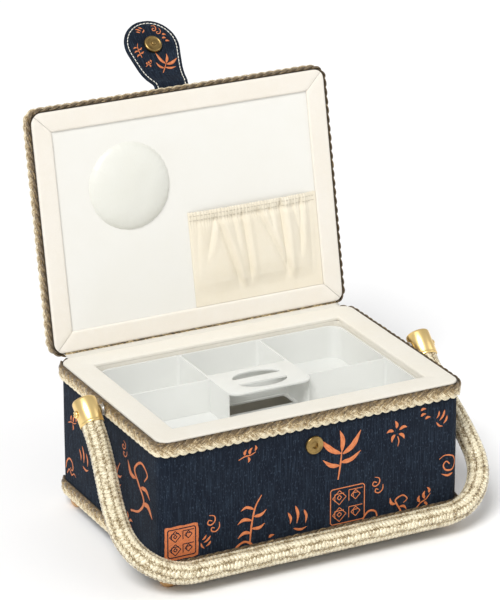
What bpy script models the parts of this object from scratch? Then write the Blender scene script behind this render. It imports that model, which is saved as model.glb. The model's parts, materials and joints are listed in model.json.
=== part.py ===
# A cloth-covered sewing box with a lift-out tray: card shell on four wooden feet, padded cream rim, printed
# navy cloth, plaited trims, a lined lid on a cloth hinge with a pincushion and a pocket, a tab with a magnetic
# snap, and a swinging braided handle. Metres, +Z up. The origin is on the table, under the middle of the space
# that the whole box fills with its lid open; the body's own middle lies BODY_Y from it.
import math

import bmesh
import bpy
from mathutils import Matrix, Vector

# ---- driving dimensions (metres, degrees) ----
BODY_W = 0.270           # over the cloth, left to right
BODY_D = 0.190           # over the cloth, front to back
BODY_Y = -0.0472         # the body stands in front of the origin, because the open lid reaches far back
BODY_BASE = 0.012        # underside of the body above the table
BODY_TOP = 0.1252        # top of the card walls, under the padded rim
RIM_TOP = 0.1286         # top of the padded rim
BODY_R = 0.010           # rounded upright corners
GAP = 0.0003             # clearance between touching pieces
CLOTH_T = 0.0008
CARD_T = 0.003
LINER_T = 0.002
OPEN_W = 0.227           # the opening inside the rim
OPEN_D = 0.147
OPEN_R = 0.006
BRAID_H = 0.013          # width of the plaited trim
BRAID_T = 0.0035
TOP_BRAID_Z = 0.115      # lower edge of the upper trim

LID_AXIS_Y = 0.1015      # the cloth hinge folds along this line
LID_AXIS_Z = 0.1292
LID_OPEN = 101.3         # how far the lid is open at rest
LID_HALF_W = 0.1343
LID_NEAR = 0.0005        # the lid runs from here to LID_FAR, measured from the hinge line
LID_FAR = 0.2005
LID_R = 0.009
LID_EDGE_T = 0.0140      # thickness of the lid at its edge
LID_DOME_T = 0.0168      # and at its middle
FRAME_W = 0.017          # cream frame round the lid lining
FRAME_T = 0.002
PANEL_N = 0.0023         # lining panel starts this far behind the frame's face
PANEL_T = 0.0015

CUSHION_X = -0.053       # pincushion: centre across the lid, and distance from the hinge line
CUSHION_V = 0.1294
CUSHION_R = 0.035
POCKET_X0 = -0.003
POCKET_V1 = 0.097
POCKET_RISE = 0.0030     # how far the pocket's cloth bulges off the lining
ELASTIC_RISE = 0.0024    # face of the pocket's elastic header above the lining
ELASTIC_T = 0.0014

TAB_AXIS_V = 0.2055      # fold line of the tab, in the lid's own measure
TAB_AXIS_N = 0.0152
TAB_BACK = 63.7          # the tab leans back by this much from the lid's plane
TAB_CURL = 28.0          # its tip curls forward again by this much
TAB_FLEX = 0.018         # distance from the fold line to the flexing line
TAB_STUD = 0.0443        # distance from the fold line to the snap
TAB_BASE_HALF = 0.0155
TAB_END_R = 0.0245
TAB_T = 0.0022
TAB_SLIT = 0.0006        # half the space between the tab's two lengths, so that they clear as it flexes
SNAP_R = 0.00775
SNAP_Z = 0.0998          # height of the snap socket on the front

PIVOT_Z = 0.1215         # axis of the handle's side screws
HANDLE_DOWN = 43.0       # the handle hangs this far below level, towards the front
HANDLE_L = 0.1495        # axis to the middle of the bar
HANDLE_HALF = 0.1526     # half width at the ferrules
HANDLE_BULGE = 0.1610    # half width where the arms bow out
HANDLE_BEND = 0.048      # radius of the two bends
ROPE_R = 0.0085
CORE_R = 0.0050
FERRULE_R = 0.0100
FERRULE_HALF_L = 0.0114
FERRULE_WALL = 0.0012
SCREW_R = 0.0019

TRAY_W = 0.2246
TRAY_D = 0.1446
TRAY_Z0 = 0.0925
TRAY_Z1 = 0.1225
TRAY_WALL = 0.0015
TRAY_R = 0.012
GRIP_HALF = 0.0375       # half width of the grip block in the tray's middle
GRIP_FRONT = -0.025
GRIP_BACK = 0.021
LEFT_DIVIDER_Y = 0.0140
RIGHT_DIVIDER_Y = -0.0130

FOOT_R = 0.0080
FOOT_X = 0.124
FOOT_Y = 0.084
FOOT_SCREW_R = 0.0015
STEM_R = 0.0025          # stem of the snap socket, through the wall
BLIND = 0.0080           # depth of the holes for screws and stems
LEDGE_W = 0.006
LEDGE_H = 0.006

ROUND = 20               # sides of small turned pieces


# ---- tools ----
def clear_scene():
    for item in list(bpy.data.objects):
        bpy.data.objects.remove(item, do_unlink=True)


def finish(name, color, rough, metal=0.0):
    mat = bpy.data.materials.new(name)
    mat.use_nodes = True
    shader = mat.node_tree.nodes["Principled BSDF"]
    shader.inputs["Base Color"].default_value = (*color, 1.0)
    shader.inputs["Roughness"].default_value = rough
    shader.inputs["Metallic"].default_value = metal
    return mat


def add_object(name, bm, mat, parent=None, smooth=None):
    bmesh.ops.recalc_face_normals(bm, faces=bm.faces)
    mesh = bpy.data.meshes.new(name)
    bm.to_mesh(mesh)
    bm.free()
    mesh.materials.append(mat)
    item = bpy.data.objects.new(name, mesh)
    bpy.context.collection.objects.link(item)
    item.parent = parent or body_middle
    if smooth is not None:
        mesh.shade_smooth()
        mesh.set_sharp_from_angle(angle=math.radians(smooth))
    return item


def add_pivot(name, location, turn_x, parent=None):
    pivot = bpy.data.objects.new(name, None)
    pivot.empty_display_size = 0.02
    pivot.location = location
    pivot.rotation_euler = (math.radians(turn_x), 0.0, 0.0)
    pivot.parent = parent or body_middle
    bpy.context.collection.objects.link(pivot)
    return pivot


def cut(item, cutter, operation="DIFFERENCE"):
    cutter.hide_render = True
    cutter.display_type = "WIRE"
    mod = item.modifiers.new(cutter.name, "BOOLEAN")
    mod.operation = operation
    mod.solver = "EXACT"
    mod.object = cutter


def rounded_rect(width, depth, radius, steps=5, centre=(0.0, 0.0)):
    """Corners run anticlockwise from the front right."""
    points = []
    corners = ((1, -1, -90), (1, 1, 0), (-1, 1, 90), (-1, -1, 180))
    for sx, sy, start in corners:
        cx = centre[0] + sx * (width / 2 - radius)
        cy = centre[1] + sy * (depth / 2 - radius)
        for i in range(steps + 1):
            a = math.radians(start + 90.0 * i / steps)
            points.append((cx + radius * math.cos(a), cy + radius * math.sin(a)))
    return points


def round_corners(points, radii, steps=4):
    """Rounds each corner of a plan outline with its own radius."""
    out = []
    count = len(points)
    for i, point in enumerate(points):
        p = Vector(point)
        before = (Vector(points[i - 1]) - p).normalized()
        after = (Vector(points[(i + 1) % count]) - p).normalized()
        radius = radii[i]
        if radius <= 0.0:
            out.append(point)
            continue
        half = before.angle(after) / 2
        reach = radius / math.tan(half)
        middle = p + (before + after).normalized() * (radius / math.sin(half))
        start = p + before * reach - middle
        end = p + after * reach - middle
        for k in range(steps + 1):
            spot = middle + start.slerp(end, k / steps) * radius
            out.append((spot.x, spot.y))
    return out


def loft(name, loops, mat, parent=None, smooth=None, closed=False):
    """Skins a row of equal loops; the ends get flat caps, or meet when closed."""
    bm = bmesh.new()
    rings = [[bm.verts.new(p) for p in loop] for loop in loops]
    count = len(rings[0])
    pairs = len(rings) if closed else len(rings) - 1
    for k in range(pairs):
        low, high = rings[k], rings[(k + 1) % len(rings)]
        for i in range(count):
            j = (i + 1) % count
            bm.faces.new((low[i], low[j], high[j], high[i]))
    if not closed:
        bm.faces.new(list(reversed(rings[0])))
        bm.faces.new(rings[-1])
    return add_object(name, bm, mat, parent, smooth)


def prism(name, outline, z0, z1, mat=None, parent=None):
    loops = [[(x, y, z) for x, y in outline] for z in (z0, z1)]
    return loft(name, loops, mat or plain, parent)


def band(name, profile, width, depth, radius, inner_radius, mat, parent=None, smooth=None, shift=(0.0, 0.0)):
    """Carries a profile of (inset, height) points round a rounded rectangle."""
    loops = []
    for inset, height in profile:
        r = max(radius - inset, inner_radius)
        plan = rounded_rect(width - 2 * inset, depth - 2 * inset, r, centre=shift)
        loops.append([(x, y, height) for x, y in plan])
    return loft(name, loops, mat, parent, smooth, closed=True)


def box_profile(inset0, inset1, z0, z1):
    return [(inset0, z0), (inset0, z1), (inset1, z1), (inset1, z0)]


def turned(name, profile, centre, axis, mat, parent=None, sides=ROUND, smooth=40, closed=False):
    """Turns a profile of (radius, distance) points about an axis through the centre."""
    turn = Vector((0, 0, 1)).rotation_difference(Vector(axis)).to_matrix().to_4x4()
    place = Matrix.Translation(centre) @ turn
    loops = []
    for radius, along in profile:
        loop = []
        for i in range(sides):
            a = 2 * math.pi * i / sides
            loop.append(place @ Vector((radius * math.cos(a), radius * math.sin(a), along)))
        loops.append(loop)
    return loft(name, loops, mat, parent, smooth, closed)


def hole(item, centre, axis, radius, reach, sides=16):
    half = [(radius, -reach), (radius, reach)]
    cutter = turned(item.name + "_bore_%d" % len(item.modifiers), half, centre, axis, plain, sides=sides)
    cut(item, cutter)


# ---- body ----
def make_body():
    board = finish("grey board", (0.42, 0.38, 0.32), 0.9)
    skin = 2 * (CLOTH_T + GAP)
    card_w, card_d = BODY_W - skin, BODY_D - skin
    wall = band("wall_board", box_profile(0, CARD_T, BODY_BASE + 0.0009, BODY_TOP), card_w, card_d,
                BODY_R - 0.001, 0.004, board)
    inside_w, inside_d = card_w - 2 * (CARD_T + GAP), card_d - 2 * (CARD_T + GAP)
    inside_r = BODY_R - 0.001 - CARD_T
    base_z = BODY_BASE + 0.0009
    bottom = prism("bottom_board", rounded_rect(inside_w, inside_d, inside_r), base_z, base_z + CARD_T, board)

    # lining sleeve: cloth faces the opening, card stands behind it
    liner_out = OPEN_W + 2 * (CLOTH_T + GAP + LINER_T)
    liner_deep = OPEN_D + 2 * (CLOTH_T + GAP + LINER_T)
    floor_z = base_z + CARD_T + GAP
    band("inner_board", box_profile(0, LINER_T, floor_z, BODY_TOP), liner_out, liner_deep, OPEN_R + 0.003,
         OPEN_R, finish("liner board", (0.55, 0.50, 0.42), 0.9))
    cream = finish("cream cotton", (0.90, 0.87, 0.78), 0.85)
    cloth_w, cloth_d = OPEN_W + 2 * CLOTH_T, OPEN_D + 2 * CLOTH_T
    band("lining_cloth", box_profile(0, CLOTH_T, floor_z, BODY_TOP), cloth_w, cloth_d, OPEN_R + CLOTH_T,
         OPEN_R, cream)
    prism("floor_pad", rounded_rect(OPEN_W - 2 * GAP, OPEN_D - 2 * GAP, OPEN_R), floor_z, floor_z + 0.003,
          finish("floor satin", (0.88, 0.86, 0.78), 0.6))

    rail_w, rail_d = inside_w, inside_d
    rail_inset = (rail_w - liner_out) / 2 - GAP
    rail = band("rim_rail", box_profile(0, rail_inset, BODY_TOP - 0.0132, BODY_TOP), rail_w, rail_d, inside_r,
                OPEN_R, finish("pine rail", (0.70, 0.52, 0.30), 0.7))

    # padded rim: flat on top, its edges rolled over
    rim_w, rim_d = BODY_W - 0.0002, BODY_D - 0.0002
    rim_in = (rim_w - OPEN_W) / 2
    z0 = BODY_TOP + GAP
    roll = 0.0012
    rim = [(0, z0), (0, RIM_TOP - roll), (roll * 0.3, RIM_TOP - roll * 0.3), (roll * 1.2, RIM_TOP),
           (rim_in - roll, RIM_TOP), (rim_in - roll * 0.3, RIM_TOP - roll * 0.3), (rim_in, RIM_TOP - roll),
           (rim_in, z0)]
    band("rim_pad", rim, rim_w, rim_d, BODY_R, OPEN_R, cream, smooth=50)

    navy = finish("navy printed cloth", (0.012, 0.016, 0.028), 0.8)
    cover = band("outer_cloth", box_profile(0, CLOTH_T, BODY_BASE, BODY_TOP), BODY_W, BODY_D, BODY_R, 0.004, navy)
    prism("base_cloth", rounded_rect(inside_w - 0.001, inside_d - 0.001, inside_r), BODY_BASE,
          BODY_BASE + 0.0006, finish("base cloth", (0.02, 0.025, 0.04), 0.9))

    gold = finish("plaited trim", (0.62, 0.50, 0.33), 0.45)
    trim_w, trim_d = BODY_W + 2 * (GAP + BRAID_T), BODY_D + 2 * (GAP + BRAID_T)
    upper = band("top_braid", braid_profile(TOP_BRAID_Z), trim_w, trim_d, BODY_R + BRAID_T, BODY_R, gold,
                 smooth=60)
    band("bottom_braid", braid_profile(BODY_BASE + 0.0006), trim_w, trim_d, BODY_R + BRAID_T, BODY_R, gold,
         smooth=60)

    # clearance for the handle's screws, blind in the rail, and for the snap's stem
    for side in (-1, 1):
        near = (side * (BODY_W / 2), 0, PIVOT_Z)
        for item in (upper, cover, wall):
            hole(item, near, (1, 0, 0), SCREW_R + GAP, BLIND)
        hole(rail, (side * 0.128, 0, PIVOT_Z), (1, 0, 0), SCREW_R + GAP, BLIND)
    for item in (cover, wall):
        hole(item, (0, -BODY_D / 2, SNAP_Z), (0, 1, 0), STEM_R + GAP, BLIND)
    for x in (-FOOT_X, FOOT_X):
        for y in (-FOOT_Y, FOOT_Y):
            for item in (bottom, bpy.data.objects["base_cloth"]):
                hole(item, (x, y, BODY_BASE), (0, 0, 1), FOOT_SCREW_R + GAP, BLIND, sides=12)

    ledge = finish("lining ledge", (0.86, 0.83, 0.74), 0.8)
    for label, side in (("left", -1), ("right", 1)):
        x = side * (OPEN_W / 2 - GAP - LEDGE_W / 2)
        plan = rounded_rect(LEDGE_W, OPEN_D - 0.016, 0.001, steps=2, centre=(x, 0))
        top = TRAY_Z0 - GAP
        prism("ledge_" + label, plan, top - LEDGE_H, top, ledge)

    strip = rounded_rect(BODY_W - 0.016, 0.0052, 0.001, steps=2, centre=(0, BODY_D / 2 + 0.0032))
    prism("hinge_cloth", strip, TOP_BRAID_Z + BRAID_H + GAP, TOP_BRAID_Z + BRAID_H + GAP + 0.0005, navy)


def braid_profile(z0, height=BRAID_H):
    """A flat trim with a softly crowned outer face."""
    t = BRAID_T
    z1 = z0 + height
    return [(t, z0), (t * 0.5, z0), (t * 0.12, z0 + 0.0022), (0, z0 + height / 2), (t * 0.12, z1 - 0.0022),
            (t * 0.5, z1), (t, z1)]


def make_feet():
    wood = finish("varnished wood", (0.62, 0.33, 0.12), 0.35)
    steel = finish("zinc screw", (0.62, 0.62, 0.60), 0.4, 1.0)
    top = BODY_BASE - GAP
    shape = [(0.0045, 0.0), (0.0062, 0.0008), (0.0076, 0.0035), (FOOT_R, 0.0065), (0.0077, 0.0095),
             (0.0066, top)]
    corners = {(-1, -1): "front_left", (1, -1): "front_right", (-1, 1): "back_left", (1, 1): "back_right"}
    head_z = BODY_BASE + 0.0009 + CARD_T + GAP
    screw = [(0.0012, 0.0048), (FOOT_SCREW_R, 0.0060), (FOOT_SCREW_R, head_z), (0.0030, head_z),
             (0.0030, head_z + 0.0008), (0.0018, head_z + 0.0016)]
    for (sx, sy), corner in corners.items():
        spot = (sx * FOOT_X, sy * FOOT_Y, 0)
        foot = turned("foot_" + corner, shape, spot, (0, 0, 1), wood)
        hole(foot, (spot[0], spot[1], top), (0, 0, 1), FOOT_SCREW_R + GAP, 0.0075, sides=12)
        turned("foot_screw_" + corner, screw, spot, (0, 0, 1), steel, sides=12)


def make_socket():
    brass = finish("antique brass", (0.36, 0.24, 0.09), 0.38, 1.0)
    front = (0, -BODY_D / 2, SNAP_Z)
    # ring with a round hole in its face, and a stem through the wall
    profile = [(STEM_R, -0.0078), (STEM_R, GAP), (SNAP_R, GAP), (SNAP_R, 0.0022), (SNAP_R - 0.0008, 0.0029),
               (0.0026, 0.0029), (0.0026, 0.0012)]
    turned("snap_socket", profile, front, (0, -1, 0), brass)
    washer = [(0.0029, -0.0054), (0.0029, -0.0046), (0.0090, -0.0046), (0.0090, -0.0054)]
    turned("socket_washer", washer, front, (0, -1, 0), finish("zinc washer", (0.6, 0.6, 0.6), 0.4, 1.0),
           closed=True)


# ---- lid: built closed, its length along -Y from the hinge line, its outside facing +Z ----
def lid_plan(inset=0.0, radius=LID_R):
    depth = LID_FAR - LID_NEAR
    return rounded_rect(2 * (LID_HALF_W - inset), depth - 2 * inset, max(radius - inset, 0.003),
                        centre=(0, -(LID_FAR + LID_NEAR) / 2))


def lid_loops(steps):
    return [[(x, y, n) for x, y in lid_plan(inset)] for inset, n in steps]


def make_lid(pivot):
    board = finish("lid board", (0.42, 0.38, 0.32), 0.9)
    navy = finish("lid printed cloth", (0.012, 0.016, 0.028), 0.8)
    cream = finish("lid frame cotton", (0.92, 0.89, 0.81), 0.85)
    satin = finish("lid lining satin", (0.90, 0.91, 0.88), 0.5)
    side = CLOTH_T + GAP
    panel_top = PANEL_N + PANEL_T
    loft("lining_panel", lid_loops([(side, PANEL_N), (side, panel_top)]), satin, pivot)
    board_n = panel_top + GAP
    board_top = board_n + CARD_T
    loft("lid_board", lid_loops([(side, board_n), (side, board_top)]), board, pivot)
    skin = CLOTH_T + 2 * GAP
    pad_n = board_top + GAP
    edge = LID_EDGE_T - skin
    dome = LID_DOME_T - skin
    pad = [(side, pad_n), (side, edge - 0.0022), (side + 0.0012, edge - 0.0006), (side + 0.004, edge),
           (0.022, edge + (dome - edge) * 0.45), (0.050, edge + (dome - edge) * 0.85), (0.085, dome)]
    loft("lid_pad", lid_loops(pad), finish("lid foam", (0.85, 0.82, 0.70), 0.95), pivot, smooth=40)
    t = CLOTH_T
    top = LID_EDGE_T
    rise = LID_DOME_T - LID_EDGE_T
    outside = [(0, PANEL_N - 0.0001), (0, top - 0.0024), (0.0012, top - 0.0007), (0.004, top),
               (0.022, top + rise * 0.45), (0.050, top + rise * 0.85), (0.085, LID_DOME_T)]
    inside = [(0.085, LID_DOME_T - t), (0.050, top + rise * 0.85 - t), (0.022, top + rise * 0.45 - t),
              (0.004 + t * 0.3, top - t), (0.0012 + t * 0.6, top - 0.0007 - t * 0.7), (t, top - 0.0024),
              (t, PANEL_N - 0.0001)]
    loft("lid_cloth", lid_loops(inside + outside), navy, pivot, smooth=40)

    plan_centre = (0, -(LID_FAR + LID_NEAR) / 2)
    grow = GAP + BRAID_T
    band("lid_braid", braid_profile(0.0008), 2 * (LID_HALF_W + grow), LID_FAR - LID_NEAR + 2 * grow,
         LID_R + BRAID_T, LID_R, finish("lid plaited trim", (0.62, 0.50, 0.33), 0.45), pivot, smooth=60,
         shift=plan_centre)
    make_frame(pivot, cream)
    make_cushion(pivot)
    make_pocket(pivot)


def make_frame(pivot, cream):
    """Four cream strips with mitred corners, round the lining."""
    outer = [Vector(p) for p in lid_plan()]
    middle = Vector((0, -(LID_FAR + LID_NEAR) / 2))
    half_w, half_d = LID_HALF_W, (LID_FAR - LID_NEAR) / 2
    sides = {"frame_right": (1, 0), "frame_left": (-1, 0), "frame_hinge": (0, 1), "frame_front": (0, -1)}
    for name, (sx, sy) in sides.items():
        out = Vector((sx, sy))
        along = Vector((-sy, sx))
        reach = half_w if sx else half_d
        length = half_d if sx else half_w
        arc = []
        for p in outer:
            rel = p - middle
            if rel.dot(out) - reach + length - abs(rel.dot(along)) >= -0.0001:
                arc.append((rel.dot(along), rel.dot(out)))
        arc.sort()
        trim = 0.00025
        outline = []
        for a, o in arc:
            limit = length - (reach - o) - trim
            outline.append((max(-limit, min(limit, a)), o))
        inner = length - FRAME_W - trim
        outline += [(inner, reach - FRAME_W), (-inner, reach - FRAME_W)]
        plan = [middle + along * a + out * o for a, o in outline]
        prism(name, [(p.x, p.y) for p in plan], 0.0, FRAME_T, cream, pivot)


def make_cushion(pivot):
    satin = finish("cushion satin", (0.86, 0.86, 0.80), 0.42)
    base_top = PANEL_N - GAP
    spot = (CUSHION_X, -CUSHION_V, 0)
    disc = [(CUSHION_R - 0.003, base_top - 0.0012), (CUSHION_R - 0.003, base_top)]
    turned("pincushion_base", disc, spot, (0, 0, 1), finish("cushion card", (0.8, 0.78, 0.7), 0.9), pivot,
           sides=28)
    low = base_top - 0.0012 - GAP
    dome = []
    height = 0.0060
    for i in range(6):
        a = math.radians(90.0 * i / 6)
        dome.append((CUSHION_R * math.cos(a), low - 0.0009 - height * math.sin(a) * 0.85))
    turned("pincushion", [(CUSHION_R - 0.002, low)] + dome, spot, (0, 0, 1), satin, pivot, sides=28, smooth=60)


def make_pocket(pivot):
    """A gathered pocket that bulges off the lining, open along its header."""
    cloth = finish("pocket cloth", (0.90, 0.85, 0.73), 0.75)
    x0, x1 = POCKET_X0, LID_HALF_W - FRAME_W - GAP
    v0, v1 = FRAME_W + LID_NEAR + GAP, POCKET_V1 - 0.004
    t = 0.0006
    columns, rows = 14, 8
    face = PANEL_N - GAP
    bm = bmesh.new()

    def height(a, b):
        across = math.sin(math.pi * a) ** 0.5
        up = min(1.0, b / 0.45) ** 0.6
        return face - t - POCKET_RISE * across * up

    layers = []
    for lift in (0.0, -t):
        grid = []
        for j in range(rows + 1):
            b = j / rows
            row = []
            for i in range(columns + 1):
                a = i / columns
                row.append(bm.verts.new((x0 + (x1 - x0) * a, -(v0 + (v1 - v0) * b), height(a, b) + t + lift)))
            grid.append(row)
        layers.append(grid)
    for grid in layers:
        for j in range(rows):
            for i in range(columns):
                bm.faces.new((grid[j][i], grid[j][i + 1], grid[j + 1][i + 1], grid[j + 1][i]))
    top, bottom = layers
    edge = [(0, i) for i in range(columns)] + [(j, columns) for j in range(rows)]
    edge += [(rows, columns - i) for i in range(columns)] + [(rows - j, 0) for j in range(rows)]
    for k, (j, i) in enumerate(edge):
        j2, i2 = edge[(k + 1) % len(edge)]
        bm.faces.new((top[j][i], top[j2][i2], bottom[j2][i2], bottom[j][i]))
    add_object("pocket_cloth", bm, cloth, pivot, smooth=50)
    header_v = (v1 + GAP + POCKET_V1) / 2
    plan = rounded_rect(x1 - x0, POCKET_V1 - v1 - GAP, 0.001, steps=2, centre=((x0 + x1) / 2, -header_v))
    prism("pocket_elastic", plan, face - ELASTIC_RISE, face - ELASTIC_RISE + ELASTIC_T, cloth, pivot)


# ---- tab: built straight along -Y from its fold line, its inner face towards -Z ----
def tab_outline(start, stop):
    """Straight tapering sides that run into a round end about the snap."""
    reach = TAB_STUD
    span = Vector((TAB_BASE_HALF, -reach))
    lean = math.asin(TAB_END_R / span.length)
    turn = math.atan2(TAB_BASE_HALF, reach)
    angle = lean - turn
    touch_x = TAB_END_R * math.cos(angle)
    touch_y = -reach + TAB_END_R * math.sin(angle)
    slope = (touch_x - TAB_BASE_HALF) / -touch_y

    def half_at(y):
        return TAB_BASE_HALF + slope * -y

    right = [(half_at(start), start)]
    if stop > -TAB_STUD:
        right.append((half_at(stop), stop))
    else:
        right.append((touch_x, touch_y))
        count = 9
        for i in range(1, count):
            a = angle - (math.pi / 2 + angle) * i / count
            right.append((TAB_END_R * math.cos(a), -reach + TAB_END_R * math.sin(a)))
        right.append((0.0, -reach - TAB_END_R))
    left = [(-x, y) for x, y in reversed(right) if x > 0.0]
    return right + left


def make_tab(lid_pivot):
    navy = finish("tab printed cloth", (0.012, 0.016, 0.028), 0.8)
    brass = finish("stud brass", (0.36, 0.24, 0.09), 0.38, 1.0)
    anchor = rounded_rect(2 * TAB_BASE_HALF - 0.001, 0.0095, 0.001, steps=2, centre=(0, -0.19905))
    prism("tab_anchor", anchor, LID_EDGE_T + 0.0010, LID_EDGE_T + 0.0024, navy, lid_pivot)
    fold = add_pivot("tab_fold", (0, -TAB_AXIS_V, TAB_AXIS_N), -TAB_BACK, lid_pivot)
    half = TAB_T / 2
    prism("tab_root", tab_outline(-0.0005, -(TAB_FLEX - TAB_SLIT)), -half, half, navy, fold)
    flex = add_pivot("tab_flex", (0, -TAB_FLEX, 0), TAB_CURL, fold)
    tip_plan = tab_outline(-(TAB_FLEX + TAB_SLIT), -(TAB_STUD + TAB_END_R))
    tip_plan = [(x, y + TAB_FLEX) for x, y in tip_plan]
    prism("tab_tip", tip_plan, -half, half, navy, flex)
    face = half + GAP
    profile = [(SNAP_R - 0.0006, face), (SNAP_R, face + 0.0006), (SNAP_R, face + 0.0026),
               (SNAP_R - 0.0007, face + 0.0034), (0.0020, face + 0.0034), (0.0020, face + 0.0042),
               (0.0012, face + 0.0046)]
    turned("snap_stud", profile, (0, -(TAB_STUD - TAB_FLEX), 0), (0, 0, -1), brass, flex)


# ---- handle: built level along -Y from the axis of its two screws ----
def handle_half_path(first):
    """Right-hand half of the handle's centre line, from near the ferrule to the middle of the bar."""
    straight = 0.014
    bend_start = HANDLE_L - HANDLE_BEND
    points = [(HANDLE_HALF, first)]
    steps = 9
    for i in range(steps + 1):
        s = straight + (bend_start - straight) * i / steps
        ease = math.sin(0.5 * math.pi * i / steps) ** 2
        points.append((HANDLE_HALF + (HANDLE_BULGE - HANDLE_HALF) * ease, s))
    steps = 9
    for i in range(1, steps + 1):
        a = math.radians(90.0 * i / steps)
        points.append((HANDLE_BULGE - HANDLE_BEND * (1 - math.cos(a)), bend_start + HANDLE_BEND * math.sin(a)))
    inner = HANDLE_BULGE - HANDLE_BEND
    points += [(inner * 0.66, HANDLE_L), (inner * 0.33, HANDLE_L)]
    return points


def rope_tube(name, radii, first, sides, mat, parent):
    half = handle_half_path(first)
    path = [(x, s) for x, s in half] + [(0.0, HANDLE_L)] + [(-x, s) for x, s in reversed(half)]
    spots = [Vector((x, -s, 0)) for x, s in path]
    loops = []
    for radius, order in radii:
        rings = []
        for i, p in enumerate(spots):
            ahead = spots[min(i + 1, len(spots) - 1)]
            behind = spots[max(i - 1, 0)]
            along = (ahead - behind).normalized()
            if i in (0, len(spots) - 1):
                along = Vector((0, -1 if i == 0 else 1, 0))
            across = along.cross(Vector((0, 0, 1)))
            ring = []
            for k in range(sides):
                a = 2 * math.pi * k / sides
                ring.append(p + across * (radius * math.cos(a)) + Vector((0, 0, radius * math.sin(a))))
            rings.append(ring)
        loops += rings[::order]
    return loft(name, loops, mat, parent, smooth=60, closed=len(radii) > 1)


def make_handle():
    pivot = add_pivot("handle_axis", (0, 0, PIVOT_Z), HANDLE_DOWN)
    rope = finish("braided cord", (0.62, 0.50, 0.33), 0.4)
    gold = finish("gold ferrule", (0.80, 0.56, 0.20), 0.22, 1.0)
    brass = finish("pivot brass", (0.70, 0.52, 0.24), 0.35, 1.0)
    first = 0.0034
    rope_tube("handle_cord", [(ROPE_R, 1), (CORE_R + GAP, -1)], first, 12, rope, pivot)
    rope_tube("handle_core", [(CORE_R, 1)], first, 8, finish("handle core", (0.75, 0.72, 0.66), 0.8), pivot)
    bore = FERRULE_R - FERRULE_WALL
    end = FERRULE_HALF_L
    cup = [(bore, -end + 0.0015), (bore, end), (FERRULE_R, end), (FERRULE_R, -end + 0.0016),
           (FERRULE_R - 0.0008, -end + 0.0004), (FERRULE_R - 0.0022, -end)]
    for label, side in (("left", -1), ("right", 1)):
        spot = (side * HANDLE_HALF, 0, 0)
        ferrule = turned("ferrule_" + label, cup, spot, (0, -1, 0), gold, pivot, sides=24)
        place = (side * HANDLE_HALF, 0, PIVOT_Z)
        hole(ferrule, place, (1, 0, 0), SCREW_R + GAP, FERRULE_R + 0.002)
        outer = HANDLE_HALF + FERRULE_R
        screw = [(SCREW_R * 0.6, 0.1215), (SCREW_R, 0.1235), (SCREW_R, outer + GAP), (0.0042, outer + GAP),
                 (0.0042, outer + 0.0014), (0.0030, outer + 0.0023)]
        turned("pivot_screw_" + label, screw, (0, 0, PIVOT_Z), (side, 0, 0), brass)
        near = BODY_W / 2 + GAP + BRAID_T + GAP
        far = HANDLE_HALF - FERRULE_R - GAP
        bush = [(SCREW_R + GAP, near), (SCREW_R + GAP, far), (0.0046, far), (0.0046, near)]
        turned("pivot_spacer_" + label, bush, (0, 0, PIVOT_Z), (side, 0, 0), brass, closed=True)


# ---- tray: one moulding, hollowed from a block ----
def make_tray():
    clear = finish("milky plastic", (0.86, 0.87, 0.83), 0.28)
    tray = prism("tray", rounded_rect(TRAY_W, TRAY_D, TRAY_R), TRAY_Z0, TRAY_Z1, clear)
    w = TRAY_WALL
    x_in, y_in = TRAY_W / 2 - w, TRAY_D / 2 - w
    floor = TRAY_Z0 + w
    above = TRAY_Z1 + 0.002
    small, big = 0.003, TRAY_R - w
    g = GRIP_HALF
    pockets = {
        "back_left": ([(-x_in, LEFT_DIVIDER_Y + w / 2), (-g, LEFT_DIVIDER_Y + w / 2), (-g, y_in),
                       (-x_in, y_in)], [small, small, small, big]),
        "back_middle": ([(-g + w, GRIP_BACK), (g - w, GRIP_BACK), (g - w, y_in), (-g + w, y_in)], [small] * 4),
        "back_right": ([(g, RIGHT_DIVIDER_Y + w / 2), (x_in, RIGHT_DIVIDER_Y + w / 2), (x_in, y_in),
                        (g, y_in)], [small, small, big, small]),
        "front": ([(-x_in, -y_in), (x_in, -y_in), (x_in, RIGHT_DIVIDER_Y - w / 2),
                   (g, RIGHT_DIVIDER_Y - w / 2), (g, GRIP_FRONT), (-g, GRIP_FRONT),
                   (-g, LEFT_DIVIDER_Y - w / 2), (-x_in, LEFT_DIVIDER_Y - w / 2)],
                  [big, big, small, 0.0, 0.009, 0.009, 0.0, small]),
    }
    for name, (outline, radii) in pockets.items():
        cut(tray, prism("hollow_" + name, round_corners(outline, radii), floor, above))
    under = TRAY_Z1 - w
    inside = [(-g + w, GRIP_FRONT - 0.004), (g - w, GRIP_FRONT - 0.004), (g - w, GRIP_BACK - w),
              (-g + w, GRIP_BACK - w)]
    cut(tray, prism("hollow_grip", inside, floor, under))
    ends = [(-g - 0.002, GRIP_FRONT - 0.004), (g + 0.002, GRIP_FRONT - 0.004), (g + 0.002, GRIP_FRONT + 0.006),
            (-g - 0.002, GRIP_FRONT + 0.006)]
    cut(tray, prism("hollow_grip_front", ends, floor, under))
    slot = rounded_rect(0.066, 0.019, 0.002, steps=2, centre=(0, 0.009))
    cut(tray, prism("floor_window", slot, TRAY_Z0 - 0.002, floor + 0.002))
    for name, flat_y, way in (("finger_hole_back", 0.003, 1), ("finger_hole_front", -0.007, -1)):
        outline = []
        count = 10
        for i in range(count + 1):
            a = math.pi * i / count
            outline.append((0.022 * math.cos(a), flat_y + way * 0.012 * math.sin(a)))
        cut(tray, prism(name, outline, under - 0.002, above))


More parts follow.
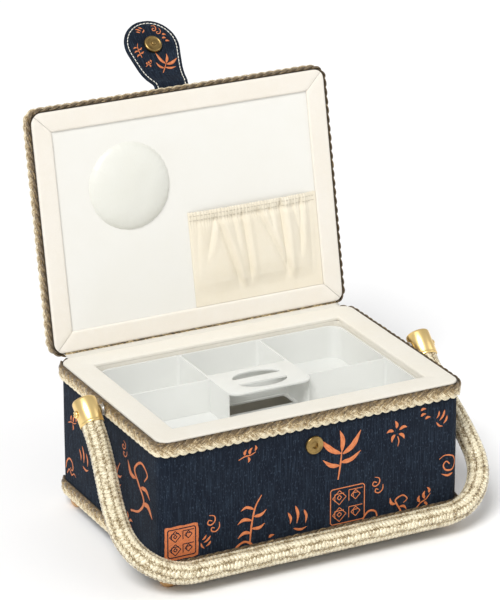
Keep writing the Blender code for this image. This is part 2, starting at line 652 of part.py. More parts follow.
clear_scene()
plain = finish("cutter", (0.5, 0.5, 0.5), 0.5)
body_middle = None
body_middle = add_pivot("body_middle", (0, BODY_Y, 0), 0)
make_body()
make_feet()
make_socket()
lid_pivot = add_pivot("lid_axis", (0, LID_AXIS_Y, LID_AXIS_Z), -LID_OPEN)
make_lid(lid_pivot)
make_tab(lid_pivot)
make_handle()
make_tray()
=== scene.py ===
# A cloth-covered sewing box with a lift-out tray: the looks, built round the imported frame. Metres, +Z up.
import json
import math
import random

import bmesh
import bpy
from mathutils import Matrix, Vector, noise


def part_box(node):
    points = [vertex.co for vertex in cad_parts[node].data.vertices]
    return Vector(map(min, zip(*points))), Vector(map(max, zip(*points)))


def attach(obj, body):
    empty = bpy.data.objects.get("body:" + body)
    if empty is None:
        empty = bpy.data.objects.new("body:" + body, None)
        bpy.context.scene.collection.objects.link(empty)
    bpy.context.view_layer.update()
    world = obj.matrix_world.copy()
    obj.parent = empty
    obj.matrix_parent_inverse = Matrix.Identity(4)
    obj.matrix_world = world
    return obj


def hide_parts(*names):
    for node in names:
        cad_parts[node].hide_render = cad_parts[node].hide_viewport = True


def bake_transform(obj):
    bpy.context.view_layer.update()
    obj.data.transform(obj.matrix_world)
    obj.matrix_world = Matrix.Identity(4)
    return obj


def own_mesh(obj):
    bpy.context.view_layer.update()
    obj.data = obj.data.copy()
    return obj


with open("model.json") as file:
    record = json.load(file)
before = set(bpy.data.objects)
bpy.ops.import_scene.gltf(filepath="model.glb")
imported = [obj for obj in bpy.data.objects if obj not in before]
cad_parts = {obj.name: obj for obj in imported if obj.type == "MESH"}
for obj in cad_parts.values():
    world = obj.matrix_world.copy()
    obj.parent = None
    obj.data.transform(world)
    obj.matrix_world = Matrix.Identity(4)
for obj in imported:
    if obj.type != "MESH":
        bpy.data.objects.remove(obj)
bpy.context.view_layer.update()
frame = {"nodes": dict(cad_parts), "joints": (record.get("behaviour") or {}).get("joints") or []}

joints = {joint["name"]: joint for joint in frame["joints"]}
nodes = frame["nodes"]
scene = bpy.context.scene


# camera, light and floor
studio = {
    "cameraPlace": (-1.1718, -2.3154, 1.1938),
    "cameraTurn": (68.53, 0.13, -27.22),
    "lens": 204.24,
    "floorTone": (0.97, 0.97, 0.97),
    "sky": 0.54,
    "key": 2.45,
    "fill": 5.0,
}


def addSoftLamp(name, place, aim, size, power):
    lamp = bpy.data.lights.new(name, "AREA")
    lamp.shape = "SQUARE"
    lamp.size = size
    lamp.energy = power
    item = bpy.data.objects.new(name, lamp)
    item.location = place
    item.rotation_euler = (Vector(aim) - Vector(place)).to_track_quat("-Z", "Y").to_euler()
    scene.collection.objects.link(item)


def addStudio():
    eye = bpy.data.cameras.new("camera")
    eye.lens = studio["lens"]
    eye.clip_end = 20
    item = bpy.data.objects.new("camera", eye)
    item.location = studio["cameraPlace"]
    item.rotation_euler = [math.radians(a) for a in studio["cameraTurn"]]
    scene.collection.objects.link(item)
    scene.camera = item
    sky = bpy.data.worlds.new("sky")
    sky.use_nodes = True
    sky.node_tree.nodes["Background"].inputs["Color"].default_value = (1, 1, 1, 1)
    sky.node_tree.nodes["Background"].inputs["Strength"].default_value = studio["sky"]
    scene.world = sky
    scene.view_settings.view_transform = "Standard"
    key = bpy.data.lights.new("key lamp", "SUN")
    key.energy = studio["key"]
    key.angle = math.radians(24)
    item = bpy.data.objects.new("key lamp", key)
    item.rotation_euler = Vector((0.52, 0.50, -0.80)).to_track_quat("-Z", "Y").to_euler()
    scene.collection.objects.link(item)
    addSoftLamp("fill lamp", (1.7, -1.2, 1.0), (0, 0, 0.15), 1.2, studio["fill"])
    bm = bmesh.new()
    bmesh.ops.create_grid(bm, x_segments=1, y_segments=1, size=6)
    mesh = bpy.data.meshes.new("floor")
    bm.to_mesh(mesh)
    bm.free()
    floor = bpy.data.objects.new("floor", mesh)
    scene.collection.objects.link(floor)
    tone = bpy.data.materials.new("floor paint")
    tone.use_nodes = True
    tone.node_tree.nodes["Principled BSDF"].inputs["Base Color"].default_value = (*studio["floorTone"], 1)
    tone.node_tree.nodes["Principled BSDF"].inputs["Roughness"].default_value = 0.8
    mesh.materials.append(tone)


addStudio()
print("studio ready")


# node helpers, for shader trees and geometry trees alike
def feed(socket, value):
    if isinstance(value, bpy.types.NodeSocket):
        socket.id_data.links.new(value, socket)
    elif value is not None:
        socket.default_value = value


def put(tree, kind, inputs=None, **options):
    # a new node: its settings, then its inputs by name or number
    node = tree.nodes.new(kind)
    for key, value in options.items():
        setattr(node, key, value)
    for label, value in (inputs or {}).items():
        feed(node.inputs[label], value)
    return node


def treeOf(*values):
    return next(value.id_data for value in values if isinstance(value, bpy.types.NodeSocket))


def calc(operation, *values):
    return put(treeOf(*values), "ShaderNodeMath", dict(enumerate(values)), operation=operation).outputs[0]


def add(a, b):
    return calc("ADD", a, b)


def sub(a, b):
    return calc("SUBTRACT", a, b)


def mul(a, b):
    return calc("MULTIPLY", a, b)


def div(a, b):
    return calc("DIVIDE", a, b)


def vecCalc(operation, first, second):
    inputs = {0: first, "Scale" if operation == "SCALE" else 1: second}
    return put(treeOf(first, second), "ShaderNodeVectorMath", inputs, operation=operation).outputs["Vector"]


def addGroup(name, treeKind, inputs, outputs):
    # inputs are given as label: value, and a name instead of a value gives the kind of a socket without one
    tree = bpy.data.node_groups.new(name, treeKind)
    kinds = {float: "Float", int: "Int", tuple: "Vector"}
    for label, value in inputs.items():
        kind = value if isinstance(value, str) else kinds[type(value)]
        if isinstance(value, tuple) and len(value) == 4:
            kind = "Color"
        socket = tree.interface.new_socket(label, in_out="INPUT", socket_type="NodeSocket" + kind)
        if not isinstance(value, str):
            socket.default_value = value
    for label, kind in outputs.items():
        tree.interface.new_socket(label, in_out="OUTPUT", socket_type="NodeSocket" + kind)
    return tree, put(tree, "NodeGroupInput").outputs, put(tree, "NodeGroupOutput").inputs


def noiseAt(place, scale, detail=3.0, rough=0.55):
    inputs = {"Vector": place, "Scale": scale, "Detail": detail, "Roughness": rough}
    return put(treeOf(place), "ShaderNodeTexNoise", inputs).outputs["Fac"]


def stretched(place, scale):
    # the same place, with one direction drawn out
    return put(treeOf(place), "ShaderNodeMapping", {"Vector": place, "Scale": scale}).outputs[0]


def stretchRange(value, low, high, toLow=0.0, toHigh=1.0):
    return put(treeOf(value), "ShaderNodeMapRange",
               dict(enumerate((value, low, high, toLow, toHigh)))).outputs[0]


def solid(tone):
    return (*tone[:3], 1) if isinstance(tone, tuple) else tone


def blendTone(factor, first, second):
    inputs = {0: factor, 6: solid(first), 7: solid(second)}
    return put(treeOf(factor), "ShaderNodeMix", inputs, data_type="RGBA").outputs[2]


# shared effects
def makeWeave():
    # plain weave: threads go over and under each other, with thick and thin places along them
    tree, start, end = addGroup("weave", "ShaderNodeTree", {"Vector": "Vector", "Thread": 0.0005,
            "Unevenness": 0.5, "Seed": 0.0}, {"Height": "Float", "Warp": "Float", "Slub": "Float"})
    place = vecCalc("ADD", start["Vector"], vecCalc("SCALE", (1.0, 0.7, 0.4), start["Seed"]))
    pitch = div(1.0, start["Thread"])
    wander = noiseAt(place, 220.0, 2.0)
    drift = mul(sub(wander, 0.5), start["Unevenness"])
    split = put(tree, "ShaderNodeSeparateXYZ", {0: vecCalc("SCALE", start["Vector"], pitch)})
    across = add(split.outputs["X"], drift)
    along = add(split.outputs["Y"], drift)
    warp = calc("ABSOLUTE", calc("SINE", mul(across, math.pi)))
    weft = calc("ABSOLUTE", calc("SINE", mul(along, math.pi)))
    cell = add(calc("FLOOR", across), calc("FLOOR", along))
    over = calc("MODULO", calc("ABSOLUTE", cell), 2.0)
    top = mul(warp, sub(1.35, mul(over, 0.7)))
    side = mul(weft, add(0.65, mul(over, 0.7)))
    feed(end["Height"], calc("MAXIMUM", top, side))
    feed(end["Warp"], calc("GREATER_THAN", top, side))
    # slubs: short bright flecks, longer along the threads
    flat = stretched(place, (1.0, 0.34, 1.0))
    fleck = noiseAt(flat, 1150.0, 1.0, 0.4)
    patch = noiseAt(place, 130.0, 2.0)
    thick = add(fleck, mul(sub(patch, 0.5), 0.25))
    feed(end["Slub"], stretchRange(thick, 0.60, 0.74))
    return tree


def makeSoiling():
    # soft patches where a surface has been handled or has gathered dust
    tree, start, end = addGroup("soiling", "ShaderNodeTree", {"Color": (0.8, 0.8, 0.8, 1),
            "Tint": (0.5, 0.5, 0.5, 1), "Vector": "Vector", "Scale": 40.0, "Amount": 0.2, "Roughness": 0.5},
            {"Color": "Color", "Roughness": "Float", "Mask": "Float"})
    broad = noiseAt(start["Vector"], start["Scale"], 5.0, 0.6)
    fine = noiseAt(start["Vector"], mul(start["Scale"], 9.0), 2.0)
    both = add(mul(broad, 0.75), mul(fine, 0.25))
    mask = mul(stretchRange(both, 0.38, 0.68), start["Amount"])
    feed(end["Color"], blendTone(mask, start["Color"], start["Tint"]))
    rough = add(start["Roughness"], mul(sub(fine, 0.45), 0.25))
    feed(end["Roughness"], rough)
    feed(end["Mask"], mask)
    return tree


def makeGrain():
    # timber grain along the vector's Z, with pores
    tree, start, end = addGroup("timber grain", "ShaderNodeTree", {"Vector": "Vector", "Rings": 420.0,
            "Pores": 0.5}, {"Bands": "Float", "Pores": "Float"})
    flat = stretched(start["Vector"], (1.0, 1.0, 0.10))
    bend = noiseAt(flat, 160.0, 3.0)
    split = put(tree, "ShaderNodeSeparateXYZ", {0: flat})
    run = add(mul(split.outputs["X"], start["Rings"]), mul(bend, 5.0))
    feed(end["Bands"], calc("MULTIPLY_ADD", calc("SINE", run), 0.5, 0.5))
    pore = noiseAt(flat, 2600.0, 1.0)
    feed(end["Pores"], mul(stretchRange(pore, 0.60, 0.75), start["Pores"]))
    return tree


weaveGroup = makeWeave()
soilGroup = makeSoiling()
grainGroup = makeGrain()


def useGroup(tree, group, **values):
    node = put(tree, "ShaderNodeGroup", node_tree=group)
    for label, value in values.items():
        socket = node.inputs[label]
        feed(socket, solid(value) if socket.type == "RGBA" else value)
    return node


def startMaterial(name, roughness=0.5, metallic=0.0, **fixed):
    mat = bpy.data.materials.new(name)
    mat.use_nodes = True
    tree = mat.node_tree
    shader = tree.nodes["Principled BSDF"]
    shader.inputs["Roughness"].default_value = roughness
    shader.inputs["Metallic"].default_value = metallic
    for label, value in fixed.items():
        shader.inputs[label.replace("_", " ")].default_value = value
    return mat, tree, shader, put(tree, "ShaderNodeTexCoord").outputs


def addBump(shader, height, distance, strength):
    inputs = {"Strength": strength, "Distance": distance, "Height": height}
    feed(shader.inputs["Normal"], put(treeOf(height), "ShaderNodeBump", inputs).outputs["Normal"])


def addSoiling(shader, coords, tone, tint, scale, amount, rough):
    soil = useGroup(shader.id_data, soilGroup, Color=tone, Tint=tint, Vector=coords["Object"], Scale=scale,
                    Amount=amount, Roughness=rough)
    feed(shader.inputs["Base Color"], soil.outputs["Color"])
    feed(shader.inputs["Roughness"], soil.outputs["Roughness"])


# materials
def makeDenim(name, seed):
    mat, tree, shader, coords = startMaterial(name, 0.9, Sheen_Weight=0.02, Sheen_Roughness=0.5)
    shader.inputs["Specular IOR Level"].default_value = 0.12
    weave = useGroup(tree, weaveGroup, Vector=coords["UV"], Thread=0.00052, Unevenness=0.9, Seed=seed)
    tone = blendTone(weave.outputs["Warp"], (0.0042, 0.0070, 0.0140), (0.0082, 0.0130, 0.0240))
    streak = stretched(coords["UV"], (1.0, 0.07, 1.0))
    line = noiseAt(streak, 760.0, 2.0)
    tone = blendTone(stretchRange(line, 0.46, 0.74, 0.0, 0.75), tone, (0.026, 0.041, 0.064))
    tone = blendTone(mul(weave.outputs["Slub"], 0.36), tone, (0.085, 0.125, 0.18))
    addSoiling(shader, coords, tone, (0.020, 0.027, 0.038), 28.0, 0.25, 0.9)
    addBump(shader, weave.outputs["Height"], 0.00016, 0.55)
    return mat


def makeInk():
    # printed colour: dry-brush streaks run along each stroke, and its U runs along the stroke
    mat, tree, shader, coords = startMaterial("orange print", 0.62)
    long = stretched(coords["UV"], (0.10, 1.0, 1.0))
    streak = noiseAt(long, 2200.0, 3.0)
    dabs = noiseAt(coords["UV"], 420.0, 3.0)
    rich = blendTone(dabs, (0.66, 0.185, 0.055), (0.50, 0.125, 0.034))
    lift = blendTone(stretchRange(streak, 0.40, 0.70), rich, (0.76, 0.27, 0.105))
    worn = stretchRange(add(streak, mul(dabs, 0.5)), 0.98, 1.10, 0.0, 0.55)
    feed(shader.inputs["Base Color"], blendTone(worn, lift, (0.10, 0.055, 0.05)))
    weave = useGroup(tree, weaveGroup, Vector=coords["UV"], Thread=0.00052, Unevenness=0.6, Seed=3.0)
    addBump(shader, weave.outputs["Height"], 0.00010, 0.4)
    return mat


def makeStampInk():
    # the solid stamps are a little browner and rubbed through
    mat, tree, shader, coords = startMaterial("stamp print", 0.66)
    rub = noiseAt(coords["UV"], 900.0, 4.0, 0.7)
    base = blendTone(noiseAt(coords["UV"], 160.0), (0.52, 0.135, 0.040), (0.66, 0.20, 0.065))
    feed(shader.inputs["Base Color"], blendTone(stretchRange(rub, 0.55, 0.66, 0.0, 0.8), base,
            (0.025, 0.025, 0.035)))
    weave = useGroup(tree, weaveGroup, Vector=coords["UV"], Thread=0.00052, Unevenness=0.6, Seed=5.0)
    addBump(shader, weave.outputs["Height"], 0.00010, 0.4)
    return mat


def makeYarn(name, dark, gold, pale, gloss=0.36):
    # glossy twisted yarn: "shade" is the brightness of a length of it, painted light and shade together with
    # a random tone; "along" and "round" run on its surface
    mat, tree, shader, coords = startMaterial(name, gloss, Sheen_Weight=0.15, Coat_Weight=0.10)
    shader.inputs["Specular IOR Level"].default_value = 0.6
    shade = put(tree, "ShaderNodeAttribute", attribute_name="shade").outputs["Fac"]
    along = put(tree, "ShaderNodeAttribute", attribute_name="along").outputs["Fac"]
    about = put(tree, "ShaderNodeAttribute", attribute_name="round").outputs["Fac"]
    ply = calc("SINE", add(mul(along, 5200.0), mul(about, 2 * math.pi * 3)))
    lengthwise = put(tree, "ShaderNodeCombineXYZ", {"X": mul(along, 420.0), "Y": mul(about, 3.0),
            "Z": mul(shade, 6.0)})
    # painted glints and dark specks: noise along each yarn and over the object raises and lowers its level,
    # standing in for caught light and shade
    fleck = noiseAt(lengthwise.outputs[0], 1.0, 2.0)
    paintedGlint = noiseAt(coords["Object"], 1500.0, 1.0)
    paintedGlintsAndSpecks = add(mul(sub(fleck, 0.5), 1.6), mul(sub(paintedGlint, 0.5), 0.7))
    level = add(shade, paintedGlintsAndSpecks)
    # low levels take the dark tone, which is painted shade, high levels the pale tone, which is painted
    # highlight; gold is the yarn's own colour
    tone = blendTone(stretchRange(level, 0.10, 0.56), dark, gold)
    tone = blendTone(stretchRange(level, 0.46, 0.88), tone, pale)
    # painted shade in the grooves between the plies
    tone = blendTone(stretchRange(ply, -1.0, -0.2, 0.35, 0.0), tone, dark)
    feed(shader.inputs["Base Color"], tone)
    addBump(shader, ply, 0.00010, 0.5)
    return mat


def makeCotton(name, tone, thread=0.00045, seed=1.0, depth=0.00012):
    mat, tree, shader, coords = startMaterial(name, 0.88, Sheen_Weight=0.18, Sheen_Roughness=0.4)
    weave = useGroup(tree, weaveGroup, Vector=coords["UV"], Thread=thread, Unevenness=0.5, Seed=seed)
    # painted shade in the weave's hollows: the low places between the threads are a tenth darker
    weaveHollowShade = tuple(c * 0.90 for c in tone)
    cloth = blendTone(weave.outputs["Height"], weaveHollowShade, tone)
    cloth = blendTone(mul(weave.outputs["Slub"], 0.35), cloth, tuple(min(1, c * 1.05) for c in tone))
    addSoiling(shader, coords, cloth, tuple(c * f for c, f in zip(tone, (0.93, 0.90, 0.84))), 22.0, 0.45,
               0.88)
    addBump(shader, weave.outputs["Height"], depth, 0.5)
    return mat


def makeSatin(name, tone, gloss, seed):
    # satin: long smooth floats, so the gloss runs in one direction and the cross threads barely show
    mat, tree, shader, coords = startMaterial(name, gloss, Sheen_Weight=0.35, Sheen_Roughness=0.25,
            Anisotropic=0.45)
    long = stretched(coords["UV"], (1.0, 0.05, 1.0))
    threads = noiseAt(long, 3000.0, 2.0)
    broad = noiseAt(coords["Object"], 26.0 + seed, 3.0)
    tinted = blendTone(broad, tone, tuple(c * f for c, f in zip(tone, (0.955, 0.945, 0.91))))
    feed(shader.inputs["Base Color"], blendTone(mul(threads, 0.16), tinted, tuple(c * 0.84 for c in tone)))
    feed(shader.inputs["Roughness"], stretchRange(threads, 0.3, 0.7, gloss - 0.05, gloss + 0.12))
    addBump(shader, threads, 0.00006, 0.4)
    return mat


def makeMetal(name, bright, dull, gloss, scratches=0.00003, patina=0.3):
    mat, tree, shader, coords = startMaterial(name, gloss, 1.0)
    addSoiling(shader, coords, bright, dull, 170.0, patina, gloss)
    fine = stretched(coords["Object"], (1.0, 1.0, 0.15))
    addBump(shader, noiseAt(fine, 3200.0, 2.0), scratches, 0.5)
    return mat


def makeWood(name, light, dark, gloss, coat, rings=520.0):
    mat, tree, shader, coords = startMaterial(name, gloss, Coat_Weight=coat, Coat_Roughness=0.12)
    grain = useGroup(tree, grainGroup, Vector=coords["Object"], Rings=rings, Pores=0.5)
    tone = blendTone(grain.outputs["Bands"], light, dark)
    tone = blendTone(grain.outputs["Pores"], tone, tuple(c * 0.4 for c in dark))
    addSoiling(shader, coords, tone, tuple(c * 0.8 for c in dark), 90.0, 0.3, gloss)
    addBump(shader, grain.outputs["Pores"], 0.00008, -0.3)
    return mat


def makeBoard(name, tone):
    # pressed card: short fibres and small dark specks
    mat, tree, shader, coords = startMaterial(name, 0.93)
    fibre = noiseAt(coords["Object"], 800.0, 4.0, 0.7)
    speck = stretchRange(noiseAt(coords["Object"], 1500.0, 1.0), 0.66, 0.72)
    body = blendTone(fibre, tuple(c * 0.8 for c in tone), tuple(min(1, c * 1.12) for c in tone))
    feed(shader.inputs["Base Color"], blendTone(speck, body, tuple(c * 0.45 for c in tone)))
    addBump(shader, fibre, 0.0001, 0.5)
    return mat


def makeFoam(name, tone):
    mat, tree, shader, coords = startMaterial(name, 0.95)
    cells = put(tree, "ShaderNodeTexVoronoi", {"Scale": 900.0, "Vector": coords["Object"]})
    # painted shade: each foam cell is darker towards its middle, where the bump sinks
    feed(shader.inputs["Base Color"], blendTone(cells.outputs["Distance"], tuple(c * 0.7 for c in tone),
            tone))
    addBump(shader, cells.outputs["Distance"], 0.0003, 0.8)
    return mat


def makeMilkyPlastic():
    # thin milky walls let some of what is behind them through, so the walls seen edge on look whitest
    mat, tree, shader, coords = startMaterial("milky plastic", 0.32, Alpha=0.70, Coat_Weight=0.25,
                                              Coat_Roughness=0.25)
    haze = noiseAt(coords["Object"], 34.0, 4.0)
    tone = blendTone(haze, (0.90, 0.905, 0.875), (0.84, 0.85, 0.815))
    scuff = stretched(coords["Object"], (1.0, 0.12, 1.0))
    marks = stretchRange(noiseAt(scuff, 1300.0, 2.0), 0.60, 0.75)
    feed(shader.inputs["Base Color"], blendTone(mul(marks, 0.2), tone, (0.95, 0.95, 0.94)))
    feed(shader.inputs["Roughness"], stretchRange(haze, 0.3, 0.7, 0.28, 0.42))
    return mat


def makeFleckedTape(name, dark, gold, pale, plain, edge):
    # cream tape whose far edge is woven from the same glossy yarn as the trims
    mat, tree, shader, coords = startMaterial(name, 0.45)
    fleck = noiseAt(coords["Object"], 520.0, 3.0, 0.7)
    tone = blendTone(stretchRange(fleck, 0.44, 0.54), dark, gold)
    tone = blendTone(stretchRange(fleck, 0.56, 0.64), tone, pale)
    weave = useGroup(tree, weaveGroup, Vector=coords["UV"], Thread=0.0008, Unevenness=0.6, Seed=11.0)
    split = put(tree, "ShaderNodeSeparateXYZ", {0: coords["UV"]})
    tone = blendTone(calc("GREATER_THAN", split.outputs["Y"], edge), plain, tone)
    feed(shader.inputs["Base Color"], tone)
    addBump(shader, weave.outputs["Height"], 0.00022, 0.7)
    return mat


cream = (0.82, 0.785, 0.70)
paint = {"denim": makeDenim("printed navy cloth", 0.0), "lidDenim": makeDenim("lid navy cloth", 4.0),
         "ink": makeInk(), "stamp": makeStampInk(), "trim": makeYarn("plaited trim yarn",
        (0.10, 0.062, 0.022), (0.48, 0.330, 0.140), (1.0, 0.90, 0.66)), "rope": makeYarn("handle cord yarn",
        (0.085, 0.055, 0.020), (0.36, 0.260, 0.120), (0.94, 0.85, 0.62), 0.28),
        "hingeTape": makeFleckedTape("hinge tape", (0.030, 0.020, 0.010), (0.42, 0.28, 0.10),
        # the trim backing's near-black colour is painted shade between the trim's yarns
        (0.88, 0.76, 0.50), cream, 0.55), "trimShadeBacking": makeCotton("trim shade backing", (0.050, 0.032, 0.013),
        0.0007, 9.0), "cotton": makeCotton("cream cotton", cream, 0.00042, 2.0),
        "frame": makeCotton("lid frame cotton", (0.84, 0.795, 0.715), 0.00042, 3.0),
        "pocket": makeCotton("pocket cotton", (0.82, 0.755, 0.62), 0.00036, 6.0, 0.00008),
        "satin": makeSatin("lining satin", (0.805, 0.795, 0.755), 0.42, 0.0),
        "cushion": makeSatin("pincushion satin", (0.74, 0.74, 0.685), 0.30, 4.0),
        "floorSatin": makeSatin("floor satin", (0.76, 0.73, 0.65), 0.44, 7.0),
        "thread": makeYarn("stitching thread", (0.55, 0.50, 0.40), (0.80, 0.75, 0.62), (0.93, 0.90, 0.80),
        0.5), "brass": makeMetal("antique brass", (0.40, 0.27, 0.10), (0.13, 0.08, 0.03), 0.36, 0.00005, 0.7),
        "gold": makeMetal("gold plate", (0.98, 0.73, 0.32), (0.86, 0.58, 0.22), 0.33, 0.00001, 0.25),
        "steel": makeMetal("zinc steel", (0.62, 0.63, 0.64), (0.35, 0.35, 0.34), 0.38, 0.00004, 0.5),
        "foot": makeWood("varnished beech", (0.70, 0.40, 0.15), (0.48, 0.235, 0.075), 0.34, 0.6),
        "pine": makeWood("raw pine", (0.74, 0.56, 0.34), (0.58, 0.38, 0.18), 0.7, 0.0, 300.0),
        "board": makeBoard("grey board", (0.42, 0.38, 0.32)), "cushionBoard": makeBoard("cushion board",
        # the cord core's near-black colour is painted shade between the cord's strands
        (0.74, 0.70, 0.60)), "core": makeCotton("cord core painted shade", (0.040, 0.028, 0.013), 0.0006, 8.0),
        "foam": makeFoam("lid foam", (0.86, 0.82, 0.70)), "plastic": makeMilkyPlastic(),}
print("materials ready:", len(paint))


# mesh helpers
def addPiece(name, mesh, body, stands=(), smooth=40):
    piece = bpy.data.objects.new(name, mesh)
    scene.collection.objects.link(piece)
    if smooth is not None:
        mesh.shade_smooth()
        mesh.set_sharp_from_angle(angle=math.radians(smooth))
    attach(piece, body)
    if stands:
        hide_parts(*stands)
    return piece


def meshFrom(bm, name, material):
    bmesh.ops.recalc_face_normals(bm, faces=bm.faces)
    mesh = bpy.data.meshes.new(name)
    bm.to_mesh(mesh)
    bm.free()
    mesh.materials.append(material)
    return mesh


def gridMesh(name, rows, material, uv=None, loopRows=False, loopCols=False, caps=False, flip=False):
    # rows of equal length, skinned; uv(i, j) gives metres on the cloth
    bm = bmesh.new()
    layer = bm.loops.layers.uv.new("UVMap")
    verts = [[bm.verts.new(p) for p in row] for row in rows]
    tall, wide = len(rows), len(rows[0])
    for i in range(tall if loopRows else tall - 1):
        for j in range(wide if loopCols else wide - 1):
            corners = [(i, j), (i, j + 1), (i + 1, j + 1), (i + 1, j)]
            if flip:
                corners.reverse()
            face = bm.faces.new([verts[a % tall][b % wide] for a, b in corners])
            for loop, (a, b) in zip(face.loops, corners):
                loop[layer].uv = uv(a, b) if uv else (rows[a % tall][b % wide][0],
                        rows[a % tall][b % wide][1])
    if caps:
        for ring in (verts[0], verts[-1]):
            face = bm.faces.new(ring)
            for loop in face.loops:
                loop[layer].uv = (loop.vert.co.x, loop.vert.co.y + loop.vert.co.z)
    bmesh.ops.remove_doubles(bm, verts=bm.verts, dist=1e-6)
    return meshFrom(bm, name, material)


def closeHoles(mesh):
    bm = bmesh.new()
    bm.from_mesh(mesh)
    bmesh.ops.holes_fill(bm, edges=[e for e in bm.edges if e.is_boundary], sides=0)
    bmesh.ops.recalc_face_normals(bm, faces=bm.faces)
    bm.to_mesh(mesh)
    bm.free()


def closeSides(mesh, rowCount, columns):
    # joins the face and the back of a folded grid along its two sides
    bm = bmesh.new()
    bm.from_mesh(mesh)
    bm.verts.ensure_lookup_table()
    last = 2 * rowCount - 1
    for j in (0, columns):
        for i in range(rowCount - 1):
            bm.faces.new([bm.verts[k * (columns + 1) + j] for k in (i, i + 1, last - i - 1, last - i)])
    bmesh.ops.recalc_face_normals(bm, faces=bm.faces)
    bm.to_mesh(mesh)
    bm.free()


def outlineLegs(w, d, r):
    # a rounded rectangle from the middle of its front, anticlockwise from above: straight legs and turns
    arc = math.pi * r / 2
    hw, hd = w / 2, d / 2
    return [("run", (0, -hd), (1, 0), hw - r), ("turn", (hw - r, -hd + r), r, -90, arc),
            ("run", (hw, -hd + r), (0, 1), d - 2 * r), ("turn", (hw - r, hd - r), r, 0, arc),
            ("run", (hw - r, hd), (-1, 0), w - 2 * r), ("turn", (-hw + r, hd - r), r, 90, arc),
            ("run", (-hw, hd - r), (0, -1), d - 2 * r), ("turn", (-hw + r, -hd + r), r, 180, arc),
            ("run", (-hw + r, -hd), (1, 0), hw - r)]


def legSpot(leg, part):
    if leg[0] == "run":
        (x, y), (dx, dy) = leg[1], leg[2]
        return Vector((x + dx * leg[3] * part, y + dy * leg[3] * part)), Vector((dy, -dx))
    angle = math.radians(leg[3] + 90 * part)
    out = Vector((math.cos(angle), math.sin(angle)))
    return Vector(leg[1]) + out * leg[2], out


def legStops(legs, step, turnSteps):
    # where the vertices go: (leg, part of it, running length)
    stops = []
    gone = 0.0
    for k, leg in enumerate(legs):
        count = max(1, round(leg[3] / step)) if leg[0] == "run" else turnSteps
        for i in range(count):
            stops.append((k, i / count, gone + leg[-1] * i / count))
        gone += leg[-1]
    return stops, gone


def spotAlong(legs, u):
    total = sum(leg[-1] for leg in legs)
    u %= total
    for leg in legs:
        if u <= leg[-1]:
            return legSpot(leg, u / leg[-1] if leg[-1] else 0.0)
        u -= leg[-1]
    return legSpot(legs[-1], 1.0)


def wrapBand(name, profile, w, d, r, mid, material, step=0.005, turnSteps=10, shape=None, least=0.0008):
    # a closed profile of (inset, height) carried round a rounded rectangle; shape() may lift a point off it
    base = outlineLegs(w, d, r)
    stops, total = legStops(base, step, turnSteps)
    rows = []
    lengths = [0.0]
    for k, (inset, height) in enumerate(profile):
        legs = outlineLegs(w - 2 * inset, d - 2 * inset, max(r - inset, least))
        row = []
        for leg, part, u in stops:
            spot, out = legSpot(legs[leg], part)
            lift, rise = shape(u, k, inset, height) if shape else (0.0, 0.0)
            row.append(Vector((mid.x + spot.x + out.x * lift, mid.y + spot.y + out.y * lift, height + rise)))
        rows.append(row)
        after = profile[(k + 1) % len(profile)]
        lengths.append(lengths[-1] + math.hypot(after[0] - inset, after[1] - height))
    us = [u for leg, part, u in stops] + [total]
    start = profile[0][1]
    return gridMesh(name, rows, material, lambda i, j: (us[j], start + lengths[i]), loopRows=True,
                    loopCols=True)


def turnedMesh(name, profile, centre, axis, material, sides=48, closed=False):
    # a profile of (radius, distance) turned about an axis; open profiles get a pole or a cap at each end
    turn = Vector((0, 0, 1)).rotation_difference(Vector(axis)).to_matrix().to_4x4()
    matrix = Matrix.Translation(centre) @ turn
    rows = []
    for radius, far in profile:
        rows.append([matrix @ Vector((radius * math.cos(2 * math.pi * k / sides),
                radius * math.sin(2 * math.pi * k / sides), far)) for k in range(sides)])
    size = max(radius for radius, far in profile)
    return gridMesh(name, rows, material, lambda i, j: (2 * math.pi * size * j / sides,
            profile[i % len(profile)][1]), loopRows=closed, loopCols=True, caps=not closed)


def wayAt(path, i):
    return (path[min(i + 1, len(path) - 1)] - path[max(i - 1, 0)]).normalized()


def smoothPath(points, spacing):
    # a curve through the points, centripetal enough for brush strokes
    points = [Vector(p) for p in points]
    padded = [points[0] * 2 - points[1]] + points + [points[-1] * 2 - points[-2]]
    out = []
    for k in range(1, len(padded) - 2):
        a, b, c, d = padded[k - 1:k + 3]
        count = max(2, math.ceil((c - b).length / spacing))
        for i in range(count):
            t = i / count
            out.append(0.5 * ((2 * b) + (c - a) * t + (2 * a - 5 * b + 4 * c - d) * t * t
                              + (3 * b - a - 3 * c + d) * t ** 3))
    out.append(points[-1])
    return out


print("helpers ready")

# places taken from the frame
clothLow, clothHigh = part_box("outer_cloth")
mid = (clothLow + clothHigh) / 2
bodyW, bodyD = clothHigh.x - clothLow.x, clothHigh.y - clothLow.y
bodyBase, bodyTop = clothLow.z, clothHigh.z
cornerR = 0.010
hinge = Vector(joints["lid_hinge"]["pos_m"])
lidOpen = math.radians(-joints["lid_hinge"]["range_deg"][0])
lidUp = Vector((0, -math.cos(lidOpen), math.sin(lidOpen)))      # from the hinge towards the lid's free edge
lidOut = Vector((0, math.sin(lidOpen), math.cos(lidOpen)))      # out of its printed side
lidHalf = 0.1343
lidNear, lidFar = 0.0005, 0.2005


def lidPoint(x, v, n):
    return hinge + Vector((x, 0, 0)) + lidUp * v + lidOut * n


def lidMatrix(v, n):
    # the lid's own axes: X across, Y towards the free edge, Z out of its inner side
    turn = Matrix((Vector((1, 0, 0)), lidUp, -lidOut)).transposed().to_4x4()
    return Matrix.Translation(lidPoint(0, v, n)) @ turn


# the printed cloth on the body
cover = {"thickness": 0.0008, "slack": 0.00022, "row": 0.0045}


def coverWave(u, z):
    # cloth over card is nearly flat: it swells a little between the trims
    swell = 0.00012 * math.sin(math.pi * (z - bodyBase) / (bodyTop - bodyBase))
    return swell + cover["slack"] * noise.noise(Vector((u * 16, z * 22, 2.7)))


